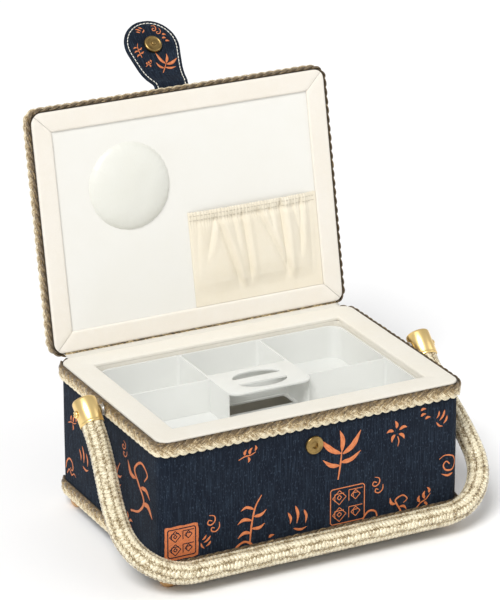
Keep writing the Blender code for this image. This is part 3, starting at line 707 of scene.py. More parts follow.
def addCover():
    rows = round((bodyTop - bodyBase) / cover["row"])
    heights = [bodyBase + (bodyTop - bodyBase) * k / rows for k in range(rows + 1)]
    profile = [(0.0, z) for z in heights] + [(cover["thickness"], z) for z in reversed(heights)]

    def shape(u, k, inset, z):
        edge = min(1.0, (z - bodyBase) / 0.012, (bodyTop - z) / 0.012)
        return coverWave(u, z) * max(0.0, edge), 0.0

    mesh = wrapBand("body_cover", profile, bodyW, bodyD, cornerR, mid, paint["denim"], 0.006, 10, shape)
    piece = addPiece("body_cover", mesh, "body", ["outer_cloth"])
    around = 2 * (bodyW + bodyD) - (8 - 2 * math.pi) * cornerR
    return around


coverLegs = outlineLegs(bodyW, bodyD, cornerR)
coverRound = addCover()


def onCover(u, z, lift):
    spot, out = spotAlong(coverLegs, u)
    reach = lift + coverWave(u % coverRound, z)
    return Vector((mid.x + spot.x + out.x * reach, mid.y + spot.y + out.y * reach, z))


print("body cover ready")

# the print: free brush flourishes that spell nothing, and two kinds of lattice stamp
# each motif is a list of strokes in a unit square, given as kind, weight and route: a "leaf" is pointed
# at both ends, and a "line" starts thick and is drawn out
motifs = {
    "leaves": [
        ("line", 0.7, (-0.12, -0.5), (-0.04, -0.2), (0.02, 0.08)),
        ("leaf", 2.2, (0.0, 0.02), (-0.2, 0.16), (-0.44, 0.46)),
        ("leaf", 2.0, (0.02, 0.06), (0.06, 0.3), (0.02, 0.5)),
        ("leaf", 2.3, (0.03, 0.0), (0.26, 0.12), (0.46, 0.38)),
        ("leaf", 1.9, (-0.03, -0.16), (0.2, -0.16), (0.42, -0.04)),
        ("leaf", 1.8, (-0.05, -0.22), (-0.24, -0.16), (-0.4, 0.0)),
    ],
    "cloud": [
        ("line", 1.0, (0.06, 0.02), (-0.1, 0.12), (-0.2, -0.04), (-0.06, -0.22), (0.22, -0.2),
         (0.34, 0.06), (0.16, 0.32), (-0.2, 0.36), (-0.42, 0.2)),
        ("leaf", 1.4, (0.28, -0.34), (0.06, -0.44), (-0.22, -0.38)),
    ],
    "blossom": [
        ("leaf", 2.0, (0.0, 0.2), (0.05, 0.34), (0.0, 0.5)),
        ("leaf", 2.0, (0.1, 0.1), (0.28, 0.16), (0.42, 0.1)),
        ("leaf", 1.9, (0.06, -0.04), (0.2, -0.14), (0.24, -0.3)),
        ("leaf", 2.0, (-0.08, -0.02), (-0.2, -0.1), (-0.26, -0.26)),
        ("leaf", 1.9, (-0.12, 0.12), (-0.26, 0.2), (-0.4, 0.16)),
        ("line", 0.7, (0.0, -0.12), (0.02, -0.32), (-0.06, -0.5)),
    ],
    "breaker": [
        ("line", 1.2, (-0.48, -0.12), (-0.3, 0.2), (0.0, 0.36), (0.24, 0.22), (0.26, -0.04), (0.1, -0.14),
         (0.0, -0.02)),
        ("line", 0.9, (-0.4, -0.34), (-0.14, -0.12), (0.06, -0.34), (0.3, -0.24), (0.46, -0.36)),
    ],
    "rain": [
        ("leaf", 1.6, (-0.34, 0.34), (-0.26, 0.1), (-0.3, -0.1)),
        ("leaf", 1.8, (-0.04, 0.5), (0.02, 0.16), (-0.06, -0.16)),
        ("leaf", 1.6, (0.26, 0.26), (0.32, 0.0), (0.26, -0.24)),
        ("leaf", 1.5, (-0.2, -0.3), (0.06, -0.42), (0.3, -0.38)),
    ],
    "tendril": [
        ("line", 1.0, (-0.3, -0.5), (-0.02, -0.38), (0.14, -0.14), (-0.06, 0.08), (-0.2, 0.26),
         (0.02, 0.46), (0.24, 0.36), (0.14, 0.2)),
        ("leaf", 1.9, (0.1, -0.2), (0.28, -0.16), (0.44, -0.3)),
        ("leaf", 1.8, (-0.14, 0.12), (-0.32, 0.12), (-0.44, 0.3)),
        ("leaf", 1.6, (0.02, 0.04), (0.2, 0.08), (0.34, -0.02)),
    ],
    "fern": [
        ("line", 0.8, (-0.1, -0.5), (0.0, -0.1), (0.14, 0.26), (0.32, 0.48)),
        ("leaf", 1.5, (-0.04, -0.3), (-0.2, -0.24), (-0.36, -0.32)),
        ("leaf", 1.5, (-0.02, -0.2), (0.16, -0.24), (0.3, -0.18)),
        ("leaf", 1.5, (0.02, -0.02), (-0.16, 0.06), (-0.32, 0.0)),
        ("leaf", 1.4, (0.06, 0.06), (0.24, 0.04), (0.38, 0.12)),
        ("leaf", 1.4, (0.1, 0.22), (-0.06, 0.32), (-0.2, 0.28)),
    ],
    "eddies": [
        ("line", 0.9, (0.02, 0.14), (-0.12, 0.24), (-0.22, 0.1), (-0.08, -0.02), (0.14, 0.08),
         (0.18, 0.32), (-0.04, 0.46)),
        ("line", 0.9, (0.04, -0.24), (-0.08, -0.16), (-0.14, -0.3), (0.04, -0.42), (0.26, -0.3),
         (0.32, -0.06)),
    ],
    "buds": [
        ("line", 0.8, (-0.4, -0.34), (-0.1, -0.14), (0.16, -0.08), (0.42, 0.1)),
        ("leaf", 2.0, (-0.12, -0.1), (-0.16, 0.06), (-0.08, 0.2)),
        ("leaf", 2.1, (0.12, -0.04), (0.1, 0.16), (0.2, 0.3)),
        ("leaf", 1.8, (0.06, -0.16), (0.16, -0.3), (0.12, -0.44)),
        ("leaf", 1.8, (0.36, 0.14), (0.4, 0.3), (0.32, 0.42)),
    ],
    "pebbles": [
        ("leaf", 2.2, (-0.14, 0.3), (0.02, 0.34), (0.2, 0.24)),
        ("leaf", 2.2, (-0.26, -0.04), (-0.08, 0.02), (0.1, -0.06)),
        ("leaf", 2.2, (-0.06, -0.34), (0.12, -0.3), (0.3, -0.4)),
    ],
}
brush = {"proud": 0.00012, "sunk": 0.00012, "spacing": 0.0016, "wide": 0.0019}


def addStroke(bm, layer, points, wide, surface, kind):
    # a thin closed ribbon that follows the cloth
    path = smoothPath(points, brush["spacing"])
    last = len(path) - 1
    rings = []
    gone = 0.0
    for i, p in enumerate(path):
        ahead, behind = path[min(i + 1, last)], path[max(i - 1, 0)]
        way = (ahead - behind).normalized() if (ahead - behind).length else Vector((1, 0))
        side = Vector((-way.y, way.x))
        t = i / last
        if kind == "blunt":
            half = wide / 2
        elif kind == "leaf":
            half = wide / 2 * max(0.06, math.sin(math.pi * t ** 0.8)) ** 0.85
            half *= 1.0 + 0.15 * noise.noise(Vector((p.x * 300, p.y * 300, wide * 900)))
        else:
            half = wide / 2 * (0.30 + 0.70 * math.sin(math.pi * min(1.0, 0.12 + 0.86 * t)) ** 0.6)
            half *= 1.0 + 0.22 * noise.noise(Vector((p.x * 300, p.y * 300, wide * 900)))
        ring = []
        for across, lift in ((-1, -brush["sunk"]), (-1, brush["proud"] * 0.6), (0, brush["proud"]),
                             (1, brush["proud"] * 0.6), (1, -brush["sunk"])):
            spot = p + side * (half * across)
            ring.append(bm.verts.new(surface(spot.x, spot.y, lift)))
        rings.append((ring, gone, half))
        gone += (ahead - p).length
    for (low, u0, h0), (high, u1, h1) in zip(rings, rings[1:]):
        for k in range(5):
            j = (k + 1) % 5
            face = bm.faces.new((low[k], low[j], high[j], high[k]))
            for loop, uv in zip(face.loops, ((u0, k), (u0, k + 1), (u1, k + 1), (u1, k))):
                loop[layer].uv = (uv[0], uv[1] * h0 * 0.5)
    for ring, u, h in (rings[0], rings[-1]):
        bm.faces.new(ring)


def addMotif(bm, layer, name, at, size, turn, surface, weight=1.0):
    angle = math.radians(turn)
    cos, sin = math.cos(angle), math.sin(angle)
    for kind, heavy, *points in motifs[name]:
        placed = []
        for x, y in points:
            placed.append((at[0] + size * (x * cos - y * sin), at[1] + size * (x * sin + y * cos)))
        addStroke(bm, layer, placed, brush["wide"] * heavy * weight * (0.30 + size / 0.055), surface, kind)


def addLatticeStamp(bm, layer, at, size, surface, bars, wide):
    # an outlined square filled with nested corners and diamonds
    x, y = at
    h = size / 2
    edge = [(-h, -h * 0.9), (-h, h * 0.92), (-h * 0.9, h), (h * 0.9, h), (h, h * 0.9), (h, -h * 0.9),
            (h * 0.9, -h), (-h * 0.9, -h), (-h, -h * 0.9)]
    for a, b in zip(edge, edge[1:]):
        addStroke(bm, layer, [(x + a[0], y + a[1]), (x + b[0], y + b[1])], wide, surface, "blunt")
    for sx in (-1, 1):
        for sy in (-1, 1):
            cx, cy = x + sx * h * 0.48, y + sy * h * 0.48
            for k in range(bars):
                r = h * 0.40 * (1 - k / bars)
                turn = [(cx - r, cy), (cx, cy + r), (cx + r, cy), (cx, cy - r), (cx - r, cy)]
                if (k + (sx > 0)) % 2:
                    turn = [(cx - r, cy - r * 0.7), (cx - r, cy + r * 0.8), (cx + r, cy + r * 0.8)]
                for a, b in zip(turn, turn[1:]):
                    addStroke(bm, layer, [a, b], wide * 0.8, surface, "blunt")


def addBlockPatch(name, at, size, surface, body):
    # a solid stamp: a thin raised pad of colour with ragged edges
    bm = bmesh.new()
    layer = bm.loops.layers.uv.new("UVMap")
    count = 16
    h = size / 2
    grids = []
    for lift in (brush["proud"] * 0.5, -brush["sunk"]):
        grid = []
        for i in range(count + 1):
            row = []
            for j in range(count + 1):
                a, b = -1 + 2 * j / count, -1 + 2 * i / count
                rag = 1 + 0.035 * noise.noise(Vector((a * 4 + at[0] * 50, b * 4, 1.3)))
                corner = 1 - 0.035 * (abs(a) * abs(b)) ** 6
                x, y = at[0] + h * a * rag * corner, at[1] + h * b * rag * corner
                row.append((bm.verts.new(surface(x, y, lift)), (x, y)))
            grid.append(row)
        grids.append(grid)
    for grid, flip in ((grids[0], False), (grids[1], True)):
        for i in range(count):
            for j in range(count):
                cell = [grid[i][j], grid[i][j + 1], grid[i + 1][j + 1], grid[i + 1][j]]
                if flip:
                    cell.reverse()
                face = bm.faces.new([v for v, uv in cell])
                for loop, (v, uv) in zip(face.loops, cell):
                    loop[layer].uv = uv
    ring = [(0, j) for j in range(count)] + [(i, count) for i in range(count)]
    ring += [(count, count - j) for j in range(count)] + [(count - i, 0) for i in range(count)]
    for (i, j), (k, m) in zip(ring, ring[1:] + ring[:1]):
        bm.faces.new((grids[0][i][j][0], grids[1][i][j][0], grids[1][k][m][0], grids[0][k][m][0]))
    addPiece(name, meshFrom(bm, name, paint["stamp"]), body, smooth=60)


def finishInk(bm, name, body, material="ink"):
    addPiece(name, meshFrom(bm, name, paint[material]), body, smooth=60)


def addStamp(name, at, size, inner, surface, body):
    # a solid stamp, with its lines in the cloth's own colour just above it
    addBlockPatch(name, at, size, surface, body)
    lines = bmesh.new()
    layer = lines.loops.layers.uv.new("UVMap")

    def raised(x, y, lift):
        return surface(x, y, lift + brush["proud"] * 0.6)

    addLatticeStamp(lines, layer, at, inner, raised, 3, 0.0009)
    finishInk(lines, name + "_lines", body, "denim")


def strewMotifs(bm, layer, seed, spots, count, tries, sizes, across, up, surface):
    # scatters motifs over a cloth so that none lies on another or on a spot that is taken
    rng = random.Random(seed)
    names = sorted(motifs)
    while len(spots) < count and tries > 0:
        tries -= 1
        size = rng.choice(sizes)
        x = rng.uniform(across[0] + size / 2, across[1] - size / 2)
        y = rng.uniform(up[0] + size / 2, up[1] - size / 2)
        if all(math.hypot(x - a, y - b) > (size + s) * 0.56 for a, b, s in spots):
            spots.append((x, y, size))
            addMotif(bm, layer, rng.choice(names), (x, y), size, rng.uniform(-20, 20), surface)


# the front, listed one by one: motif, place across and up (mm), size (mm), turn
frontPrint = [("buds", -59, 104, 17, -12), ("leaves", 25, 86, 42, 6), ("blossom", 76, 94, 23, 10),
              ("pebbles", 101, 106, 14, 20), ("rain", 117, 99, 15, -28), ("eddies", 58, 52, 17, 10),
              ("tendril", 78, 28, 24, -18), ("rain", -14, 38, 24, 6), ("fern", -56, 46, 38, 8),
              ("breaker", -62, 18, 28, 4), ("buds", 100, 31, 20, 12), ("cloud", 124, 57, 22, -10),
              ("breaker", 53, 24, 20, 16), ("pebbles", -36, 24, 15, 30), ("eddies", -90, 50, 18, 15),
              ("rain", -96, 36, 12, -50),]
outlineStampAt, blockStampAt = (31, 41), (-117, 40)


def addBodyPrint():
    bm = bmesh.new()
    layer = bm.loops.layers.uv.new("UVMap")
    mm = 0.001
    for name, x, z, size, turn in frontPrint:
        addMotif(bm, layer, name, (x * mm, z * mm), size * mm, turn, onCover)
    addLatticeStamp(bm, layer, (outlineStampAt[0] * mm, outlineStampAt[1] * mm), 0.031, onCover, 3, 0.0008)
    # the left side: one tall motif near the front, a column of small ones behind it
    left = coverRound - bodyW / 2 - bodyD / 2      # middle of the left side
    for name, y, z, size, turn in [("tendril", 62, 74, 52, -4), ("fern", 18, 68, 28, 6),
            ("cloud", -14, 76, 24, -8), ("rain", -44, 58, 22, 12), ("pebbles", 4, 42, 16, 0),
            ("buds", -66, 84, 18, -10), ("breaker", -72, 40, 20, 10), ("blossom", 40, 36, 19, 14),
            ("eddies", 34, 98, 15, 5)]:
        addMotif(bm, layer, name, (left + y * mm, z * mm), size * mm, turn, onCover)
    # the right side and the back, strewn with the same marks
    start, stop = bodyW / 2 + 0.004, coverRound - bodyW / 2 - bodyD - 0.004
    sizes = (0.016, 0.019, 0.024, 0.032, 0.042)
    strewMotifs(bm, layer, 12, [], 34, 900, sizes, (start, stop), (0.030, 0.112), onCover)
    finishInk(bm, "body_print", "body")
    addStamp("stamp_front", (blockStampAt[0] * mm, blockStampAt[1] * mm), 0.029, 0.024, onCover, "body")


addBodyPrint()
print("body print ready")


# plaited trims, by geometry nodes
def storeValue(geometry, name, value, kind="FLOAT"):
    inputs = {"Geometry": geometry, "Name": name, "Value": value}
    node = put(treeOf(geometry), "GeometryNodeStoreNamedAttribute", inputs, data_type=kind, domain="POINT")
    return node.outputs["Geometry"]


def readValue(tree, name, kind="FLOAT"):
    return put(tree, "GeometryNodeInputNamedAttribute", {"Name": name}, data_type=kind).outputs["Attribute"]


def finishTree(end, geometry, material):
    tree = treeOf(geometry)
    whole = put(tree, "GeometryNodeRealizeInstances", {"Geometry": geometry})
    smooth = put(tree, "GeometryNodeSetShadeSmooth", {"Geometry": whole.outputs["Geometry"]})
    coat = put(tree, "GeometryNodeSetMaterial", {"Geometry": smooth.outputs["Geometry"],
            "Material": material})
    feed(end["Geometry"], coat.outputs["Geometry"])


def growMesh(name, tree, values, base=None, matrix=None):
    # runs a tree on a base mesh and keeps the result as a plain mesh
    holder = bpy.data.objects.new(name + " maker", base or bpy.data.meshes.new(name + " base"))
    scene.collection.objects.link(holder)
    modifier = holder.modifiers.new("nodes", "NODES")
    modifier.node_group = tree
    for socket in tree.interface.items_tree:
        if socket.in_out == "INPUT" and socket.name in values:
            modifier[socket.identifier] = values[socket.name]
    holder.update_tag()
    bpy.context.view_layer.update()
    mesh = bpy.data.meshes.new_from_object(holder.evaluated_get(bpy.context.evaluated_depsgraph_get()))
    mesh.name = name
    bpy.data.objects.remove(holder, do_unlink=True)
    if matrix is not None:
        mesh.transform(matrix)
    return mesh


def makePlaitTree():
    tree, get, end = addGroup("plait", "GeometryNodeTree", {"Width": 0.27, "Depth": 0.19, "Corner": 0.01,
            "Periods": 32, "Steps": 20, "Length": 0.9, "Strands": 3, "Yarns": 7, "Reach": 0.0039,
            "Rise": 0.0008, "Strand Half": 0.0022, "Yarn Radius": 0.0005, "Side": 1.0, "Seed": 0.0,
            "Material": "Material"}, {"Geometry": "Geometry"})
    frameCurve = put(tree, "GeometryNodeCurvePrimitiveQuadrilateral",
                     {"Width": get["Width"], "Height": get["Depth"]}, mode="RECTANGLE")
    corner = put(tree, "GeometryNodeFilletCurve", {"Curve": frameCurve.outputs["Curve"],
            "Radius": get["Corner"], "Count": 10}, mode="POLY")
    even = put(tree, "GeometryNodeResampleCurve", {"Curve": corner.outputs["Curve"],
            "Count": mul(get["Periods"], get["Steps"])}, mode="COUNT")
    line = storeValue(even.outputs["Curve"], "way", put(tree, "GeometryNodeInputTangent").outputs[0],
                      "FLOAT_VECTOR")
    copies = put(tree, "GeometryNodeDuplicateElements",
                 {"Geometry": line, "Amount": mul(get["Strands"], get["Yarns"])}, domain="SPLINE")
    number = copies.outputs["Duplicate Index"]
    strand = calc("FLOOR", div(add(number, 0.5), get["Yarns"]))
    yarn = sub(number, mul(strand, get["Yarns"]))
    span = sub(get["Yarns"], 1.0)
    share = sub(mul(div(yarn, span), 2.0), 1.0)
    part = put(tree, "GeometryNodeSplineParameter").outputs["Factor"]
    turns = mul(mul(part, get["Periods"]), 2 * math.pi)
    phase = mul(div(strand, get["Strands"]), 2 * math.pi)
    angle = add(turns, phase)
    slope = mul(calc("COSINE", angle), mul(get["Reach"], div(mul(get["Periods"], 2 * math.pi),
            get["Length"])))
    lean = div(1.0, calc("SQRT", add(1.0, mul(slope, slope))))
    offset = mul(share, get["Strand Half"])
    wobble = put(tree, "ShaderNodeTexNoise", {"Scale": 170.0, "W": add(mul(number, 3.7), get["Seed"])},
                 noise_dimensions="4D")
    stray = mul(sub(wobble.outputs["Fac"], 0.5), 0.0009)
    aside = add(mul(get["Reach"], calc("SINE", angle)), add(mul(offset, lean), stray))
    ahead = mul(mul(mul(offset, slope), lean), -1.0)
    crown = mul(sub(1.0, mul(share, share)), 0.00045)
    out = add(mul(get["Rise"], calc("SINE", mul(angle, 2.0))), add(crown, mul(stray, 0.5)))
    way = readValue(tree, "way", "FLOAT_VECTOR")
    outward = vecCalc("SCALE", vecCalc("CROSS_PRODUCT", way, (0.0, 0.0, 1.0)), get["Side"])
    shift = vecCalc("ADD", vecCalc("SCALE", way, ahead), vecCalc("SCALE", outward, out))
    shift = vecCalc("ADD", shift, vecCalc("SCALE", (0.0, 0.0, 1.0), aside))
    # painted highlight: lengths that lean one way are made paler, as if they caught the light, and the others
    # lie golden between them; a random tone per yarn and noise is added
    facing = calc("MULTIPLY_ADD", div(aside, get["Reach"]), -0.28, 0.47)
    fleck = put(tree, "FunctionNodeRandomValue", {"ID": number, 2: -0.16, 3: 0.16}, data_type="FLOAT")
    tuft = mul(sub(wobble.outputs["Fac"], 0.5), 0.7)
    shade = add(add(facing, fleck.outputs[1]), tuft)
    shaded = storeValue(copies.outputs["Geometry"], "shade", shade)
    measured = storeValue(shaded, "along", mul(part, get["Length"]))
    moved = put(tree, "GeometryNodeSetPosition", {"Geometry": measured, "Offset": shift})
    profile = put(tree, "GeometryNodeCurvePrimitiveCircle", {"Resolution": 5, "Radius": get["Yarn Radius"]},
                  mode="RADIUS")
    about = storeValue(profile.outputs["Curve"], "round",
                       put(tree, "GeometryNodeSplineParameter").outputs["Factor"])
    tube = put(tree, "GeometryNodeCurveToMesh", {"Curve": moved.outputs["Geometry"], "Profile Curve": about})
    finishTree(end, tube.outputs["Mesh"], get["Material"])
    return tree


plaitTree = makePlaitTree()
plait = {"period": 0.0235, "steps": 20, "yarns": 7, "reach": 0.0039, "rise": 0.0008, "strandHalf": 0.0022,
         "yarn": 0.00052, "middle": 0.0020}


def addTrim(name, w, d, r, matrix, body, node, seed):
    # w, d and r are the outline that the trim is sewn to, and its yarns lie a little off it
    off = plait["middle"]
    w2, d2, r2 = w + 2 * off, d + 2 * off, r + off
    length = 2 * (w2 + d2) - (8 - 2 * math.pi) * r2
    periods = round(length / plait["period"])
    values = {"Width": w2, "Depth": d2, "Corner": r2, "Periods": periods, "Steps": plait["steps"],
              "Length": length, "Yarns": plait["yarns"], "Reach": plait["reach"], "Rise": plait["rise"],
              "Strand Half": plait["strandHalf"], "Yarn Radius": plait["yarn"], "Seed": seed,
              "Material": paint["trim"]}
    mesh = growMesh(name, plaitTree, values, matrix=matrix)
    addPiece(name, mesh, body, [node], smooth=None)
    # a dark woven tape behind the yarns; its near-black colour is painted shade for the gaps between them
    half = 0.0057
    tape = [(-0.0004, -half), (-0.0012, -half), (-0.0015, 0.0), (-0.0012, half), (-0.0004, half)]
    backing = wrapBand(name + "_tape", tape, w, d, r, Vector((0, 0, 0)), paint["trimShadeBacking"], 0.008, 8)
    backing.transform(matrix)
    addPiece(name + "_tape", backing, body)


def addTrims():
    for name, node, seed in (("upper_trim", "top_braid", 1.0), ("lower_trim", "bottom_braid", 5.0)):
        low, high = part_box(node)
        place = Matrix.Translation((mid.x, mid.y, (low.z + high.z) / 2))
        addTrim(name, bodyW, bodyD, cornerR, place, "body", node, seed)
    lidMid = (lidNear + lidFar) / 2
    addTrim("lid_trim", 2 * lidHalf, lidFar - lidNear, 0.009, lidMatrix(lidMid, 0.0073), "lid", "lid_braid",
            9.0)


addTrims()
print("trims ready")

# padded rim, lining and floor pad
rim = {"roll": 0.0015, "pucker": 0.00035}


def addRim():
    low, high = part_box("rim_pad")
    openW = 0.227
    w, d = high.x - low.x, high.y - low.y
    wide = (w - openW) / 2
    top, base = high.z, low.z
    profile = [(0.0, base)]
    turns = 6
    for k in range(turns + 1):      # outer edge rolls over
        a = math.radians(90 * k / turns)
        profile.append((rim["roll"] * (1 - math.cos(a)), top - rim["roll"] * (1 - math.sin(a)) - 0.0001))
    flats = 7
    for k in range(1, flats):       # a low crown across the pad
        t = k / flats
        profile.append((rim["roll"] + (wide - 2 * rim["roll"]) * t, top - 0.0001
                        + 0.00025 * math.sin(math.pi * t)))
    for k in range(turns + 1):
        a = math.radians(90 * (1 - k / turns))
        profile.append((wide - rim["roll"] * (1 - math.cos(a)), top - rim["roll"] * (1 - math.sin(a))
                        - 0.0001))
    profile.append((wide, base))

    def shape(u, k, inset, z):
        if z < base + 0.0012:
            return 0.0, 0.0
        near = max(0.0, 1 - min(inset, wide - inset) / 0.005)
        wave = noise.noise(Vector((u * 120, inset * 60, 0.4))) * near * 0.5 + noise.noise(Vector((u * 26,
                inset * 90, 7)))
        return 0.0, -rim["pucker"] * abs(wave)

    mesh = wrapBand("rim_cushion", profile, w, d, cornerR, mid, paint["cotton"], 0.004, 10, shape)
    piece = addPiece("rim_cushion", mesh, "body", ["rim_pad"], smooth=60)


def addLining():
    low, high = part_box("lining_cloth")
    w, d = high.x - low.x, high.y - low.y
    rows = 14
    heights = [low.z + (high.z - low.z) * k / rows for k in range(rows + 1)]
    thick = 0.0008
    profile = [(0.0, low.z), (0.0, high.z)] + [(thick, z) for z in reversed(heights)]

    def shape(u, k, inset, z):
        if inset < thick / 2:
            return 0.0, 0.0
        return 0.00018 * noise.noise(Vector((u * 30, z * 18, 5.5))) + 0.0001, 0.0

    mesh = wrapBand("lining", profile, w, d, 0.0068, mid, paint["cotton"], 0.008, 6, shape)
    piece = addPiece("lining", mesh, "body", ["lining_cloth"])


def addFloorPad():
    low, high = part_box("floor_pad")
    w, d = high.x - low.x, high.y - low.y
    thick = high.z - low.z
    rows = []
    insets = [0.0, 0.0004, 0.0014, 0.003, 0.006] + [0.010 + 0.0105 * k for k in range(6)]
    rise = [0.4, 0.75, 0.93, 1.0, 1.02] + [1.05 + 0.05 * k for k in range(6)]
    insets.append(d / 2 - 0.0006)
    rise.append(1.35)
    base = outlineLegs(w, d, 0.006)
    stops, total = legStops(base, 0.008, 6)
    rings = [(0.0006, 0.0)] + list(zip(insets, rise))
    for inset, part in rings:
        legs = outlineLegs(w - 2 * inset, d - 2 * inset, max(0.006 - inset, 0.0005))
        row = []
        for leg, share, u in stops:
            spot, out = legSpot(legs[leg], share)
            wave = 0.00025 * noise.noise(Vector((spot.x * 60, spot.y * 60, 3))) if inset > 0.002 else 0.0
            row.append(Vector((mid.x + spot.x, mid.y + spot.y, low.z + thick * part + wave)))
        rows.append(row)
    mesh = gridMesh("floor_cushion", rows, paint["floorSatin"], lambda i,
                    j: (rows[i % len(rows)][j % len(stops)].x, rows[i % len(rows)][j % len(stops)].y),
                    loopCols=True, caps=True)
    piece = addPiece("floor_cushion", mesh, "body", ["floor_pad"], smooth=60)


addRim()
addLining()
addFloorPad()
print("rim and lining ready")

# lid: printed cover, cream frame, satin lining
lidSize = {"edge": 0.0140, "dome": 0.0168, "roll": 0.0030, "corner": 0.009, "thickness": 0.0008}


def lidHeight(x, v):
    # the padded top: rolled at the edge, then a low dome with slack in the cloth
    mx = lidHalf - abs(x)
    mv = min(v - lidNear, lidFar - v)
    inset = max(0.0, min(mx, mv, (mx + mv) * 0.62))
    r = lidSize["roll"]
    edge = lidSize["edge"]
    rolled = edge - r + math.sqrt(max(0.0, r * r - max(0.0, r - inset) ** 2))
    dome = (lidSize["dome"] - edge) * math.sin(0.5 * math.pi * min(1.0, inset / 0.075))
    slack = 0.00035 * noise.noise(Vector((x * 14, v * 14, 9.1))) * min(1.0, inset / 0.01)
    return rolled + dome + slack


def onLid(x, v, lift):
    return lidPoint(-x, v, lidHeight(-x, v) + lift)


def addLidCover():
    middle = (lidNear + lidFar) / 2
    deep = lidFar - lidNear
    w, r = 2 * lidHalf, lidSize["corner"]
    stops, total = legStops(outlineLegs(w, deep, r), 0.006, 10)
    rows, uvs = [], []
    thick = lidSize["thickness"]
    low = 0.0022
    side = [low + (lidSize["edge"] - lidSize["roll"] - low) * k / 3 for k in range(3)]
    insets = [lidSize["roll"] * (1 - math.cos(math.radians(a))) for a in (0, 15, 30, 45, 60, 75, 90)]
    insets += [0.0045, 0.007, 0.010, 0.014, 0.019, 0.025, 0.032, 0.040, 0.049, 0.058, 0.067, 0.076, 0.085,
               0.093, deep / 2 - 0.0008]

    def ring(inset, height):
        legs = outlineLegs(w - 2 * inset, deep - 2 * inset, max(r - inset, 0.0006))
        row, marks = [], []
        for leg, part, u in stops:
            spot, out = legSpot(legs[leg], part)
            n = lidHeight(spot.x, middle + spot.y) if height is None else height
            row.append((spot.x, middle + spot.y, n))
            marks.append(Vector((spot.x, spot.y)) + out * ((lidSize["edge"] - n)
                    if height is not None else 0.0))
        rows.append(row)
        uvs.append(marks)

    for inset in reversed(insets):         # underside of the cloth, then its outside
        ring(max(inset, thick), None)
        rows[-1] = [(x, v, n - thick) for x, v, n in rows[-1]]
    ring(thick, low)
    for n in side:
        ring(0.0, n)
    for inset in insets:
        ring(inset, None)
    placed = [[lidPoint(*p) for p in row] for row in rows]
    mesh = gridMesh("lid_cover", placed, paint["lidDenim"], lambda i, j: uvs[i % len(uvs)][j % len(stops)],
                    loopCols=True, caps=True)
    piece = addPiece("lid_cover", mesh, "lid", ["lid_cloth"], smooth=60)


def addLidPrint():
    bm = bmesh.new()
    layer = bm.loops.layers.uv.new("UVMap")
    outlineAt, blockAt = (0.070, 0.060), (-0.078, 0.142)
    addLatticeStamp(bm, layer, outlineAt, 0.034, onLid, 3, 0.0009)
    sizes = (0.016, 0.020, 0.026, 0.034, 0.046)
    strewMotifs(bm, layer, 31, [(*outlineAt, 0.050), (*blockAt, 0.050)], 44, 1500, sizes,
                (-lidHalf + 0.006, lidHalf - 0.006), (lidNear + 0.006, lidFar - 0.014), onLid)
    finishInk(bm, "lid_print", "lid")
    addStamp("stamp_lid", blockAt, 0.031, 0.025, onLid, "lid")


frameStrip = {"wide": 0.017, "thick": 0.0019, "edgeRoll": 0.0016, "pucker": 0.00035}


def addFrameStrip(name, node, way, length, reach, turnBy):
    # one mitred cloth strip: a runs along it, e from its outer edge inwards
    r = lidSize["corner"]
    mitre = frameStrip["wide"]
    across = [0.0, 0.0003, 0.0008, 0.0015, 0.0026, 0.0045, 0.0065, 0.0085, 0.0105, 0.0125, 0.0142, 0.0154,
              0.0162, 0.0167, mitre]
    columns = max(30, round(2 * length / 0.004))
    middle = (lidNear + lidFar) / 2
    rows, marks = [], []

    def spotOn(e, part):
        reachAlong = length - e - 0.00018
        if e < r:
            reachAlong = min(reachAlong, length - r + math.sqrt(r * r - (r - e) ** 2))
        return reachAlong * part, reachAlong

    def face(e, a, limit):
        rolled = frameStrip["edgeRoll"]
        edge = min(e, mitre - e)
        drop = rolled * (1 - math.sqrt(max(0.0, 1 - (1 - min(1.0, edge / rolled)) ** 2)))
        seam = max(0.0, 1 - (limit - abs(a)) / 0.0009) ** 2 * 0.0006
        wave = noise.noise(Vector((a * 55 + turnBy, e * 120, 1.0))) + 0.6 * noise.noise(Vector((a * 210,
                e * 60, turnBy)))
        near = 0.35 + 0.65 * max(0.0, 1 - edge / 0.004)
        return min(frameStrip["thick"], 0.0001 + drop * 0.85 + seam + frameStrip["pucker"] * abs(wave) * near)

    def place(a, e, n):
        x, y = way[1] * a * -1 + way[0] * (reach - e), way[0] * a + way[1] * (reach - e)
        return lidPoint(x, middle + y, n), (a, e)

    # the face from its outer edge inwards, then the glued side back again with fewer rows
    for e, glued in [(e, False) for e in across] + [(e, True) for e in reversed(across[::2])]:
        row, mark = [], []
        for j in range(columns + 1):
            part = -1 + 2 * j / columns
            part = math.copysign(abs(part) ** 0.9, part)
            a, limit = spotOn(e, part)
            p, uv = place(a, e, frameStrip["thick"] + 0.0001 if glued else face(e, a, limit))
            row.append(p)
            mark.append(uv)
        rows.append(row)
        marks.append(mark)
    mesh = gridMesh(name, rows, paint["frame"], lambda i, j: marks[i % len(marks)][j], loopRows=True)
    closeHoles(mesh)
    addPiece(name, mesh, "lid", [node], smooth=60)


def addLidFrame():
    halfV = (lidFar - lidNear) / 2
    addFrameStrip("frame_strip_right", "frame_right", (1, 0), halfV, lidHalf, 1.0)
    addFrameStrip("frame_strip_left", "frame_left", (-1, 0), halfV, lidHalf, 4.0)
    addFrameStrip("frame_strip_front", "frame_front", (0, 1), lidHalf, halfV, 7.0)
    addFrameStrip("frame_strip_hinge", "frame_hinge", (0, -1), lidHalf, halfV, 9.0)


panelSheet = {"n": 0.0023, "thick": 0.0014, "wave": 0.00050}


